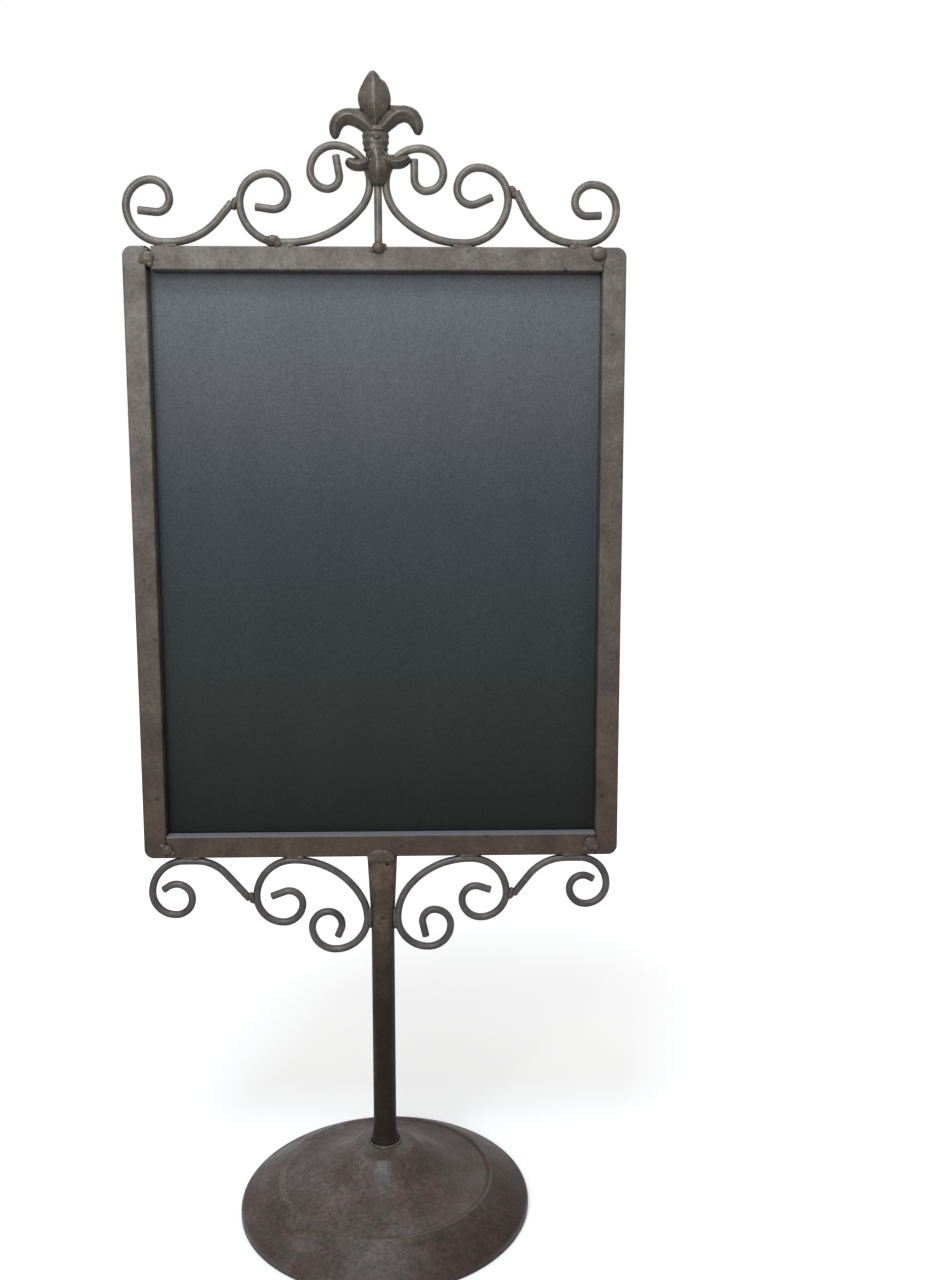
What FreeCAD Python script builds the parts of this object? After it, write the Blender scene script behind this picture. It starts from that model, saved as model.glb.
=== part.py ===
import FreeCAD, Part
import math
import os
import re
import Sketcher
from FreeCAD import Placement, Rotation, Vector

# Wrought-steel chalkboard stand: a framed board on a post, with scrolls, a fleur-de-lis and a round base.
# Millimetres. Origin on the floor under the post, +Z up, the board faces -Y.

doc = FreeCAD.newDocument("ChalkboardStand")
sheet = doc.addObject("Spreadsheet::Sheet", "Sizes")

sizes = {
    # board frame: rectangular steel tube laid flat
    "FrameWidth": 406.4,
    "FrameHeight": 508.0,
    "FrameBottom": 322.0,
    "BarFace": 19.05,
    "BarDepth": 12.7,
    "BarWall": 1.5,
    "BarEdgeRound": 1.5,
    "FrameCornerRound": 8.0,
    "EndPlugLength": 12.0,
    "TopRailGap": 4.0,
    # writing board and the sheet clips that hold it behind the frame
    "BoardThickness": 3.2,
    "BoardLap": 9.0,
    "ClipWidth": 14.0,
    "ClipThickness": 1.2,
    "ClipFoot": 8.0,
    "ClipLip": 9.0,
    "ClipInset": 90.0,
    # round bar of the scrolls and the finial's stem
    "WireDiameter": 6.35,
    "StemDiameter": 6.35,
    "StemOffset": 2.3,
    "StemLength": 84.0,
    "SeatGap": 0.05,
    "TailStandoff": 6.0,
    # post
    "PostDiameter": 20.0,
    "PostWall": 1.5,
    "PostTopWidth": 26.0,
    "PostTopDepth": 12.7,
    "PostTopTaper": 62.0,
    "PostFootDiameter": 26.0,
    "PostFootFlare": 17.0,
    "VentHole": 2.2,
    "VentHoleDrop": 7.0,
    "VentHoleOffset": 4.5,
    # base shell, spun from sheet
    "BaseDiameter": 256.0,
    "BaseHeight": 58.0,
    "BaseWall": 1.2,
    "BaseLift": 0.8,
    "RimHeight": 8.0,
    "RimRound": 5.0,
    "SeatDiameter": 34.0,
    "LandDiameter": 54.0,
    "LandDrop": 3.5,
    "ValleyDiameter": 180.0,
    "ValleyHeight": 25.0,
    "ConeSag": 4.5,
    "BeadDiameter": 190.0,
    "BeadRise": 1.8,
    "FormRound": 3.0,
    # ballast, bolt and feet
    "BallastMargin": 3.0,
    "BallastThickness": 18.0,
    "BallastDraft": 2.0,
    "BallastRecessDiameter": 34.0,
    "BallastRecessDepth": 10.0,
    "BoltDiameter": 8.0,
    "BoltLength": 70.0,
    "BoltHeadWidth": 13.0,
    "BoltHeadHeight": 5.3,
    "BoltClearance": 1.0,
    "WasherDiameter": 24.0,
    "WasherThickness": 1.6,
    "LockWasherDiameter": 14.0,
    "LockWasherThickness": 2.0,
    "PlugLength": 30.0,
    "PlugLift": 2.0,
    "FootPadDiameter": 20.0,
    "FootPadCircle": 160.0,
    # fleur-de-lis casting
    "BudWidth": 27.2,
    "BudHeight": 41.0,
    "BudDepth": 8.5,
    "HornSpan": 77.0,
    "HornRise": 1.5,
    "HornWidth": 11.5,
    "HornDepth": 7.0,
    "CollarWidth": 19.6,
    "CollarHeight": 14.0,
    "CollarDepth": 8.0,
    "BeadSize": 5.6,
    "DropWidth": 20.4,
    "DropHeight": 33.0,
    "DropDepth": 9.0,
    "LeafSpan": 52.0,
    "LeafWidth": 9.0,
    "LeafDepth": 6.0,
    "FinialFoot": 45.0,
    "FinialLean": 2.5,
    "FinialInlet": 1.5,
    # weld beads
    "CornerBead": 11.5,
    "CornerBeadRise": 2.6,
    "StemBead": 10.0,
    "SeatBeadLength": 21.0,
    "SeatBeadHeight": 2.6,
    "JointBead": 9.0,
    "PostBeadLength": 19.0,
    "PostTongueRise": 6.5,
    "PostTongueSwell": 1.8,
    "FootBead": 4.4,
}

# Each scroll is bent by hand, so left and right differ a little. It leaves the rail at its Seat, taken from the
# middle. Run is how far it lies on the rail, Curl the first quarter's radius, Taper the next quarter's share of it,
# Turn the whole turn of the curl and Nib its straight end. The inner scrolls go on over a Throat to a second curl,
# the Eye. The outer ones end in a Tail on the inner ones' side.
outerBends = {
    "TopLeft": {"Seat": 165, "Run": 6, "Curl": 28, "Taper": 0.72, "Turn": 366, "Nib": 14, "Tail": 52, "Lift": 0},
    "TopRight": {"Seat": 163, "Run": 5, "Curl": 26.5, "Taper": 0.73, "Turn": 362, "Nib": 11, "Tail": 48, "Lift": 6},
    "BottomLeft": {"Seat": 160, "Run": 10, "Curl": 28, "Taper": 0.71, "Turn": 358, "Nib": 15, "Tail": 34, "Lift": 2},
    "BottomRight": {"Seat": 159, "Run": 12, "Curl": 23.5, "Taper": 0.77, "Turn": 376, "Nib": 9, "Tail": 41, "Lift": 2},
}
innerBends = {
    "TopLeft": {"Seat": 70, "Run": 7.5, "Curl": 31, "Taper": 0.72, "Turn": 368, "Nib": 13,
                "Rise": 47, "Throat": 31, "Eye": 28, "EyeTaper": 0.7, "EyeTurn": 370, "EyeNib": 15},
    "TopRight": {"Seat": 69.5, "Run": 3, "Curl": 34.5, "Taper": 0.7, "Turn": 383, "Nib": 13,
                 "Rise": 46, "Throat": 35, "Eye": 27, "EyeTaper": 0.71, "EyeTurn": 360, "EyeNib": 15},
    "BottomLeft": {"Seat": 75.5, "Run": 0.5, "Curl": 32.5, "Taper": 0.71, "Turn": 374, "Nib": 12,
                   "Rise": 52.5, "Throat": 38, "Eye": 28, "EyeTaper": 0.71, "EyeTurn": 364, "EyeNib": 13},
    "BottomRight": {"Seat": 74.5, "Run": 2.5, "Curl": 30.5, "Taper": 0.73, "Turn": 378, "Nib": 10,
                    "Rise": 52.5, "Throat": 45, "Eye": 26.5, "EyeTaper": 0.73, "EyeTurn": 373, "EyeNib": 12},
}
corners = ("TopLeft", "TopRight", "BottomLeft", "BottomRight")

for corner in corners:
    for name, size in outerBends[corner].items():
        sizes[f"{corner}Outer{name}"] = size
    for name, size in innerBends[corner].items():
        sizes[f"{corner}Inner{name}"] = size

for row, (alias, size) in enumerate(sizes.items(), start=1):
    sheet.set(f"A{row}", alias)
    sheet.set(f"B{row}", str(size))
    sheet.setAlias(f"B{row}", alias)
doc.recompute()

aliasPattern = re.compile(r"\b(" + "|".join(sorted(sizes, key=len, reverse=True)) + r")\b")
partObjects = []


# ---------- helpers ----------

def num(expression):
    """The number that an expression of the sheet's sizes has now."""
    return float(sheet.evalExpression(expression))


def bind(item, prop, expression):
    """Ties a property to an expression of the sheet's sizes."""
    item.setExpression(prop, aliasPattern.sub(r"Sizes.\1", expression))


def keep(item, label):
    """Marks a document object as one finished piece."""
    item.Label = label
    partObjects.append(item)
    return item


def newBody(label):
    body = doc.addObject("PartDesign::Body", label)
    return keep(body, label)


def newSketch(body, name, role, offset=("0", "0", "0")):
    """A sketch on an origin plane of its body, moved by offset in the plane's own directions."""
    sketch = body.newObject("Sketcher::SketchObject", name)
    plane = [item for item in body.Origin.OriginFeatures if item.Role == role][0]
    sketch.AttachmentSupport = (plane, [""])
    sketch.MapMode = "FlatFace"
    sketch.AttachmentOffset = Placement(Vector(*[num(text) for text in offset]), Rotation())
    for axis, text in zip("xyz", offset):
        if text != "0":
            bind(sketch, f"AttachmentOffset.Base.{axis}", text)
    return sketch


def constrain(sketch, expression, kind, *where):
    """Adds a dimension to a sketch and ties it to an expression."""
    angle = kind == "Angle"
    size = num(expression)
    index = sketch.addConstraint(Sketcher.Constraint(kind, *where, math.radians(size) if angle else size))
    bind(sketch, f"Constraints[{index}]", f"({expression}) * 1 deg" if angle else expression)


def circle(sketch, diameter):
    """A circle about the sketch's origin."""
    item = sketch.addGeometry(Part.Circle(Vector(), Vector(0, 0, 1), num(diameter) / 2))
    sketch.addConstraint(Sketcher.Constraint("Coincident", item, 3, -1, 1))
    constrain(sketch, diameter, "Diameter", item)


def ellipse(sketch, width, depth):
    """An ellipse about the sketch's origin, its long axis along the sketch's x."""
    shape = Part.Ellipse(Vector(), num(width) / 2, num(depth) / 2)
    item = sketch.addGeometry(shape)
    sketch.exposeInternalGeometry(item)
    sketch.addConstraint(Sketcher.Constraint("Coincident", item, 3, -1, 1))
    sketch.addConstraint(Sketcher.Constraint("Horizontal", item + 1))
    constrain(sketch, width, "Distance", item + 1)
    constrain(sketch, depth, "Distance", item + 2)


def rectangle(sketch, width, height):
    """A rectangle centred on the sketch's origin."""
    x, y = num(width) / 2, num(height) / 2
    points = [Vector(-x, -y), Vector(x, -y), Vector(x, y), Vector(-x, y)]
    first = len(sketch.Geometry)
    for index in range(4):
        sketch.addGeometry(Part.LineSegment(points[index], points[(index + 1) % 4]))
    for index in range(4):
        sketch.addConstraint(Sketcher.Constraint("Coincident", first + index, 2, first + (index + 1) % 4, 1))
        sketch.addConstraint(Sketcher.Constraint("Horizontal" if index % 2 == 0 else "Vertical", first + index))
    sketch.addConstraint(Sketcher.Constraint("Symmetric", first, 1, first + 1, 2, -1, 1))
    constrain(sketch, width, "DistanceX", first, 1, first, 2)
    constrain(sketch, height, "DistanceY", first + 1, 1, first + 1, 2)


def outline(sketch, points):
    """A closed outline of straight sides through points given as pairs of expressions, none of them negative."""
    corners = [Vector(num(x), num(y)) for x, y in points]
    count = len(points)
    for index in range(count):
        sketch.addGeometry(Part.LineSegment(corners[index], corners[(index + 1) % count]))
    for index in range(count):
        sketch.addConstraint(Sketcher.Constraint("Coincident", index, 2, (index + 1) % count, 1))
    for index, (x, y) in enumerate(points):
        constrain(sketch, x, "DistanceX", -1, 1, index, 1)
        constrain(sketch, y, "DistanceY", -1, 1, index, 1)


def pad(body, sketch, length, midplane=False, reverse=False):
    item = body.newObject("PartDesign::Pad", f"{sketch.Name}Pad")
    item.Profile = sketch
    item.SideType = "Symmetric" if midplane else "One side"
    item.Reversed = reverse
    bind(item, "Length", length)
    sketch.Visibility = False
    doc.recompute()
    return item


def revolve(body, sketch, axis="V_Axis"):
    item = body.newObject("PartDesign::Revolution", f"{sketch.Name}Turn")
    item.Profile = sketch
    item.ReferenceAxis = (sketch, [axis])
    item.Angle = 360.0
    doc.recompute()
    return item


def pocket(body, sketch, length, midplane=False, reverse=False):
    """Cuts a sketch into its body and makes sure that it took something away."""
    before = body.Shape.Volume
    item = body.newObject("PartDesign::Pocket", f"{sketch.Name}Pocket")
    item.Profile = sketch
    item.SideType = "Symmetric" if midplane else "One side"
    item.Reversed = reverse
    bind(item, "Length", length)
    doc.recompute()
    if item.Shape.Volume >= before:
        raise RuntimeError(f"{sketch.Name} cuts nothing")
    return item


def fillet(body, base, radius, chosen):
    """Rounds the edges of base that chosen() picks."""
    names = [f"Edge{index}" for index, edge in enumerate(base.Shape.Edges, start=1) if chosen(edge)]
    item = body.newObject("PartDesign::Fillet", f"{base.Name}Round")
    item.Base = (base, names)
    bind(item, "Radius", radius)
    doc.recompute()
    return item


def solidFeature(label, shapes):
    """A piece, or a group of like pieces, made with Part's own functions."""
    solids = [solid for shape in shapes for solid in shape.Solids]
    item = doc.addObject("Part::Feature", label)
    item.Shape = solids[0] if len(solids) == 1 else Part.makeCompound(solids)
    return keep(item, label)


# ---------- frame ----------

def makeStile(label, side):
    """Upright tube with rounded outer corners. side is -1 for left and 1 for right."""
    body = newBody(label)
    middle = f"{side} * (FrameWidth - BarFace) / 2"
    face = newSketch(body, f"{label}Face", "XZ_Plane", (middle, "FrameBottom + FrameHeight / 2", "0"))
    rectangle(face, "BarFace", "FrameHeight")
    block = pad(body, face, "BarDepth", midplane=True)
    outside = side * num("FrameWidth") / 2
    halfDepth = num("BarDepth") / 2
    rounded = fillet(body, block, "FrameCornerRound",
                     lambda edge: all(abs(v.X - outside) < 0.01 for v in edge.Vertexes)
                     and abs(edge.Vertexes[0].Z - edge.Vertexes[1].Z) < 0.01)
    soft = fillet(body, rounded, "BarEdgeRound",
                  lambda edge: all(abs(abs(v.Y) - halfDepth) < 0.01 for v in edge.Vertexes)
                  and abs(edge.Vertexes[0].Y - edge.Vertexes[1].Y) < 0.01)
    bore = newSketch(body, f"{label}Bore", "XY_Plane", (middle, "0", "FrameBottom - 1"))
    rectangle(bore, "BarFace - 2 * BarWall", "BarDepth - 2 * BarWall")
    blank = soft.Shape.copy()
    pocket(body, bore, "FrameHeight + 2", reverse=True)
    return blank


def makeEndPlugs(blanks):
    """Plugs welded into the stiles' ends and ground to the rounded corners."""
    width = num("BarFace - 2 * BarWall")
    depth = num("BarDepth - 2 * BarWall")
    length = num("EndPlugLength")
    plugs = []
    for side, blank in blanks.items():
        x = side * num("FrameWidth - BarFace") / 2
        for z in (num("FrameBottom"), num("FrameBottom + FrameHeight - EndPlugLength")):
            block = Part.makeBox(width, depth, length, Vector(x - width / 2, -depth / 2, z))
            plugs.append(block.common(blank))
    solidFeature("stile_end_plugs", plugs)


def makeRail(label, bottom, gap):
    """Level tube between the stiles. gap is how far its left end stops short."""
    body = newBody(label)
    length = f"FrameWidth - 2 * BarFace - {gap}"
    section = newSketch(body, f"{label}Section", "YZ_Plane",
                        ("0", f"{bottom} + BarFace / 2", f"BarFace + {gap} - FrameWidth / 2"))
    rectangle(section, "BarDepth", "BarFace")
    block = pad(body, section, length)
    soft = fillet(body, block, "BarEdgeRound",
                  lambda edge: abs(edge.Vertexes[0].X - edge.Vertexes[-1].X) > 1)
    bore = newSketch(body, f"{label}Bore", "YZ_Plane",
                     ("0", f"{bottom} + BarFace / 2", f"BarFace + {gap} - FrameWidth / 2 - 1"))
    rectangle(bore, "BarDepth - 2 * BarWall", "BarFace - 2 * BarWall")
    pocket(body, bore, f"{length} + 2", reverse=True)


def makeBoard():
    """Hardboard writing panel, seated on the back of the frame."""
    body = newBody("chalkboard_panel")
    face = newSketch(body, "BoardFace", "XZ_Plane", ("0", "FrameBottom + FrameHeight / 2", "-BarDepth / 2"))
    rectangle(face, "FrameWidth - 2 * BarFace + 2 * BoardLap", "FrameHeight - 2 * BarFace + 2 * BoardLap")
    pad(body, face, "BoardThickness", reverse=True)


def makeClips():
    """Joggled sheet clips: the foot lies on the frame's back, the lip on the board's."""
    foot, lip = num("ClipFoot"), num("ClipLip")
    sheetMetal, step = num("ClipThickness"), num("BoardThickness")
    edge, width = num("SeatGap"), num("ClipWidth")
    back = num("BarDepth") / 2
    points = [(-edge - foot, 0), (-edge - sheetMetal, 0), (-edge - sheetMetal, step), (lip, step),
              (lip, step + sheetMetal), (-edge - 2 * sheetMetal, step + sheetMetal),
              (-edge - 2 * sheetMetal, sheetMetal), (-edge - foot, sheetMetal)]
    section = Part.makePolygon([Vector(x, back + y, -width / 2) for x, y in points + points[:1]])
    clip = Part.Face(section).extrude(Vector(0, 0, width))
    halfWide = num("FrameWidth / 2 - BarFace + BoardLap")
    halfHigh = num("FrameHeight / 2 - BarFace + BoardLap")
    middle = num("FrameBottom + FrameHeight / 2")
    inset = num("ClipInset")
    clips = []
    for turn, reach, along in ((0, halfWide, halfHigh), (90, halfHigh, halfWide),
                               (180, halfWide, halfHigh), (270, halfHigh, halfWide)):
        for place in (-(along - inset), along - inset):
            copy = clip.copy()
            copy.translate(Vector(-reach, 0, place))
            copy.rotate(Vector(), Vector(0, 1, 0), turn)
            copy.translate(Vector(0, 0, middle))
            clips.append(copy)
    solidFeature("board_clips", clips)


# ---------- scrolls ----------

class WirePath:
    """A path of tangent arcs and straights in a sketch, tied to the sheet as it grows."""

    def __init__(self, sketch, heading):
        self.sketch = sketch
        self.heading = heading
        self.place = Vector()
        self.last = None

    def join(self, item, near):
        """Fixes a new item to the end of the path, smoothly."""
        if self.last is None:
            self.sketch.addConstraint(Sketcher.Constraint("Coincident", item, near, -1, 1))
        else:
            self.sketch.addConstraint(Sketcher.Constraint("Tangent", self.last[0], self.last[1], item, near))

    def straight(self, length, sizeText=None):
        """A straight of a given length, and its expression if the length is a size."""
        angle = math.radians(self.heading)
        end = self.place + Vector(math.cos(angle), math.sin(angle)) * length
        item = self.sketch.addGeometry(Part.LineSegment(self.place, end))
        self.join(item, 1)
        if self.last is None:
            self.sketch.addConstraint(Sketcher.Constraint("Horizontal", item))
        if sizeText:
            constrain(self.sketch, sizeText, "Distance", item)
        self.place = end
        self.last = (item, 2)
        return item

    def bend(self, radius, turn, radiusText=None, turnText=None):
        """An arc of a given radius and turn, anticlockwise where turn is positive."""
        spin = 1 if turn > 0 else -1
        angle = math.radians(self.heading)
        centre = self.place + Vector(-math.sin(angle), math.cos(angle)) * radius * spin
        low = self.heading - 90 * spin
        first, last = (low, low + turn) if spin > 0 else (low + turn, low)
        round_ = Part.Circle(centre, Vector(0, 0, 1), radius)
        item = self.sketch.addGeometry(Part.ArcOfCircle(round_, math.radians(first), math.radians(last)))
        near, far = (1, 2) if spin > 0 else (2, 1)
        self.join(item, near)
        if self.last is None:
            self.sketch.addConstraint(Sketcher.Constraint("PointOnObject", item, 3, -2))
        if radiusText:
            constrain(self.sketch, radiusText, "Radius", item)
        if turnText:
            constrain(self.sketch, turnText, "Angle", item)
        self.heading += turn
        angle = math.radians(self.heading)
        self.place = centre - Vector(-math.sin(angle), math.cos(angle)) * radius * spin
        self.last = (item, far)
        return item

    def volute(self, curl, taper, turn, nib, spin):
        """Three quarter turns and a last arc, each tighter than the one before, then a straight nib."""
        for quarter in range(3):
            text = f"{curl} * {taper} ^ {quarter}"
            self.bend(num(text), 90 * spin, text, "90")
        text = f"{curl} * {taper} ^ 3"
        self.bend(num(text), num(f"{turn} - 270") * spin, text, f"{turn} - 270")
        self.straight(num(nib), nib)


wireLevel = {"Top": "FrameBottom + FrameHeight + WireDiameter / 2", "Bottom": "FrameBottom - WireDiameter / 2"}
wirePlane = "BarDepth / 2 - WireDiameter / 2"


def seatOf(corner, ring):
    """How far from the middle a scroll leaves its rail."""
    return f"{corner}{ring}Seat"


def startWire(label, corner, seat, part):
    """The sketch of one run of wire, with its origin where the wire leaves the rail."""
    side = 1 if corner.endswith("Right") else -1
    level = wireLevel["Top" if corner.startswith("Top") else "Bottom"]
    body = doc.getObject(label) or newBody(label)
    path = newSketch(body, f"{label}_{part}", "XZ_Plane", (f"{side} * {seat}", level, wirePlane))
    section = newSketch(body, f"{label}_{part}_section", "YZ_Plane",
                        (f"-({wirePlane})", level, f"{side} * {seat}"))
    circle(section, "WireDiameter")
    return body, path, section, side


def sweepWire(body, path, section):
    pipe = body.newObject("PartDesign::AdditivePipe", f"{path.Name}_pipe")
    pipe.Profile = section
    pipe.Spine = (path, [])
    doc.recompute()
    return pipe


def makeCurl(label, corner, prefix):
    """The half of a scroll that runs along the rail and curls up at the outside."""
    seat = seatOf(corner, prefix[len(corner):])
    body, path, section, side = startWire(label, corner, seat, "curl")
    spin = side if corner.startswith("Top") else -side
    wire = WirePath(path, 0 if side > 0 else 180)
    wire.straight(num(f"{prefix}Run"), f"{prefix}Run")
    wire.volute(f"{prefix}Curl", f"{prefix}Taper", f"{prefix}Turn", f"{prefix}Nib", spin)
    sweepWire(body, path, section)
    return body


def reach(sketch, item, end, side, up, across, along):
    """Sets how far a path's point lies inwards and away from the rail."""
    if side > 0:
        constrain(sketch, across, "DistanceX", item, end, -1, 1)
    else:
        constrain(sketch, across, "DistanceX", -1, 1, item, end)
    if up > 0:
        constrain(sketch, along, "DistanceY", -1, 1, item, end)
    else:
        constrain(sketch, along, "DistanceY", item, end, -1, 1)


def makeInnerScroll(label, corner, contact):
    """Curl, throat and eye. contact is how far from the middle the wire passes the stem or the post."""
    prefix = f"{corner}Inner"
    body = makeCurl(label, corner, prefix)
    _, path, section, side = startWire(label, corner, f"{prefix}Seat", "throat")
    up = 1 if corner.startswith("Top") else -1
    spin = -side * up
    across, rise, throat = num(f"{prefix}Seat - ({contact})"), num(f"{prefix}Rise"), num(f"{prefix}Throat")
    sweep = (across ** 2 + rise ** 2 - 2 * across * throat) / (2 * (rise - throat))
    turn = math.degrees(math.atan2(across - throat, sweep - rise))
    wire = WirePath(path, 180 if side > 0 else 0)
    wire.bend(sweep, turn * spin)
    elbow = wire.bend(throat, (90 - turn) * spin, f"{prefix}Throat")
    end = wire.last[1]
    path.addConstraint(Sketcher.Constraint("Horizontal", elbow, end, elbow, 3))
    reach(path, elbow, end, side, up, f"{prefix}Seat - ({contact})", f"{prefix}Rise")
    wire.volute(f"{prefix}Eye", f"{prefix}EyeTaper", f"{prefix}EyeTurn", f"{prefix}EyeNib", spin)
    sweepWire(body, path, section)
    return body


def makeOuterScroll(label, corner):
    """Curl and a tail that is welded to the inner scroll's side."""
    prefix, inner = f"{corner}Outer", f"{corner}Inner"
    body = makeCurl(label, corner, prefix)
    seat = seatOf(corner, "Outer")
    _, path, section, side = startWire(label, corner, seat, "tail")
    up = 1 if corner.startswith("Top") else -1
    acrossText = f"{seat} - {inner}Seat - {inner}Run - {inner}Curl - TailStandoff"
    riseText = f"{inner}Curl + {prefix}Lift"
    across, rise, radius = num(acrossText), num(riseText), num(f"{prefix}Tail")
    span = math.hypot(across, radius - rise)
    turn = math.degrees(math.atan2(across, radius - rise) - math.acos(radius / span))
    wire = WirePath(path, 180 if side > 0 else 0)
    wire.bend(radius, -turn * side * up, f"{prefix}Tail")
    tail = wire.straight(math.sqrt(span ** 2 - radius ** 2))
    reach(path, tail, 2, side, up, acrossText, riseText)
    sweepWire(body, path, section)
    return body


# ---------- stem and finial ----------

def makeStem():
    """Round rod that stands on the top rail and carries the finial."""
    stem = doc.addObject("Part::Cylinder", "finial_stem")
    bind(stem, "Radius", "StemDiameter / 2")
    bind(stem, "Height", "StemLength")
    bind(stem, "Placement.Base.x", "StemOffset")
    bind(stem, "Placement.Base.y", f"-({wirePlane})")
    bind(stem, "Placement.Base.z", "FrameBottom + FrameHeight")
    return keep(stem, "finial_stem")


def ridgedSection(height, halfWidth, depth):
    """A level section of a leaf: flat behind, with two bowed cheeks that meet in a ridge in front."""
    left, right, ridge = Vector(-halfWidth, 0, height), Vector(halfWidth, 0, height), Vector(0, -depth, height)
    cheeks = []
    for start, end in ((left, ridge), (ridge, right)):
        bow = (start + end) * 0.5 + Vector(math.copysign(0.12 * halfWidth, (start + end).x), -0.16 * depth, 0)
        cheeks.append(Part.Arc(start, bow, end).toShape())
    return Part.Wire(cheeks + [Part.LineSegment(right, left).toShape()])


def leaf(stations, width, height, depth):
    """A leaf lofted through stations of (share of height, share of half width, share of depth)."""
    wires = [ridgedSection(at * height, wide * width / 2, deep * depth) for at, wide, deep in stations]
    return Part.makeLoft(wires, True)


def horn(centres, widths, depths):
    """A curved tapering horn through ellipses set square to its centre line."""
    wires = []
    for index, (x, z) in enumerate(centres):
        before = centres[max(index - 1, 0)]
        after = centres[min(index + 1, len(centres) - 1)]
        along = Vector(after[0] - before[0], 0, after[1] - before[1]).normalize()
        normal = Vector(-along.z, 0, along.x)
        middle = Vector(x, 0, z)
        halfWide, halfDeep = widths[index] / 2, depths[index]
        if halfWide > halfDeep:
            ring = Part.Ellipse(middle + normal * halfWide, middle + Vector(0, halfDeep, 0), middle)
        else:
            ring = Part.Ellipse(middle + Vector(0, halfDeep, 0), middle + normal * halfWide, middle)
        wires.append(Part.Wire([ring.toShape()]))
    return Part.makeLoft(wires, True)


def mirrored(shape):
    return shape.mirror(Vector(), Vector(1, 0, 0))


def arcPoints(centre, radiusX, radiusZ, angles):
    """Points on an ellipse at the given angles in degrees."""
    return [(centre[0] + radiusX * math.cos(math.radians(a)), centre[1] + radiusZ * math.sin(math.radians(a)))
            for a in angles]


def makeFinial(stem, wires):
    """Fleur-de-lis casting, flat at the back and let onto the stem and the two top scrolls."""
    dropHeight, collarHeight = num("DropHeight"), num("CollarHeight")
    drop = leaf([(0, 0.12, 0.25), (0.1, 0.62, 0.7), (0.3, 0.95, 0.98), (0.48, 1, 1), (0.72, 0.86, 0.9),
                 (1, 0.84, 0.8)], num("DropWidth"), dropHeight, num("DropDepth"))
    collarTop = dropHeight + collarHeight
    halfCollar, collarDepth = num("CollarWidth") / 2, num("CollarDepth")
    rings = []
    ringCount = 3
    for index in range(2 * ringCount + 1):
        swell = 1 if index % 2 else 0.9
        z = dropHeight - 1 + (collarHeight + 2) * index / (2 * ringCount)
        rings.append(Part.Wire([Part.Ellipse(Vector(0, 0, z), halfCollar * swell, collarDepth * swell).toShape()]))
    collar = Part.makeLoft(rings, True)
    bud = leaf([(0, 0.16, 0.4), (0.12, 0.5, 0.65), (0.25, 0.82, 0.9), (0.42, 1, 1), (0.58, 0.94, 0.92),
                (0.76, 0.66, 0.7), (0.9, 0.32, 0.45), (1, 0.07, 0.15)],
               num("BudWidth"), num("BudHeight"), num("BudDepth"))
    bud.translate(Vector(0, 0, collarTop + 2))
    span, width, deep = num("HornSpan") / 2, num("HornWidth"), num("HornDepth")
    tipX = span - width * 0.36
    centres = [(halfCollar * 0.5, collarTop - 1 + num("HornRise"))]
    centres += arcPoints((tipX * 0.62, collarTop + num("HornRise")), tipX * 0.38, width * 0.72, (150, 110, 75, 40, 5, -35))
    horns = horn(centres, [width * k for k in (0.5, 0.85, 1, 1, 0.9, 0.68, 0.34)],
                 [deep * k for k in (0.9, 1, 1, 0.95, 0.85, 0.7, 0.4)])
    leafSpan, leafWidth, leafDeep = num("LeafSpan") / 2, num("LeafWidth"), num("LeafDepth")
    low = dropHeight * 0.56
    lobe = horn([(2, low + 2), (leafSpan * 0.4, low + 0.5), (leafSpan * 0.66, low - 0.5), (leafSpan * 0.86, low + 1.5),
                 (leafSpan * 0.95, low + 4)], [leafWidth * k for k in (0.9, 1.1, 1, 0.9, 0.45)],
                [leafDeep * k for k in (1, 1, 1, 0.85, 0.45)])
    bead = Part.makeSphere(num("BeadSize") / 2, Vector(0, -collarDepth * 0.86, dropHeight + collarHeight / 2))
    body = drop.multiFuse([collar, bud, horns, mirrored(horns), lobe, mirrored(lobe), bead])
    size = 4 * span
    body = body.cut(Part.makeBox(size, size, size, Vector(-size / 2, 0, -size / 2)))
    body.rotate(Vector(0, 0, dropHeight / 2), Vector(0, 1, 0), -num("FinialLean"))
    body.translate(Vector(num("StemOffset"), num("FinialInlet - BarDepth / 2"),
                          num("FrameBottom + FrameHeight + FinialFoot")))
    body = body.cut([stem.Shape] + [wire.Shape for wire in wires])
    return solidFeature("fleur_finial", [max(body.Solids, key=lambda solid: solid.Volume)])


# ---------- post ----------

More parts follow.
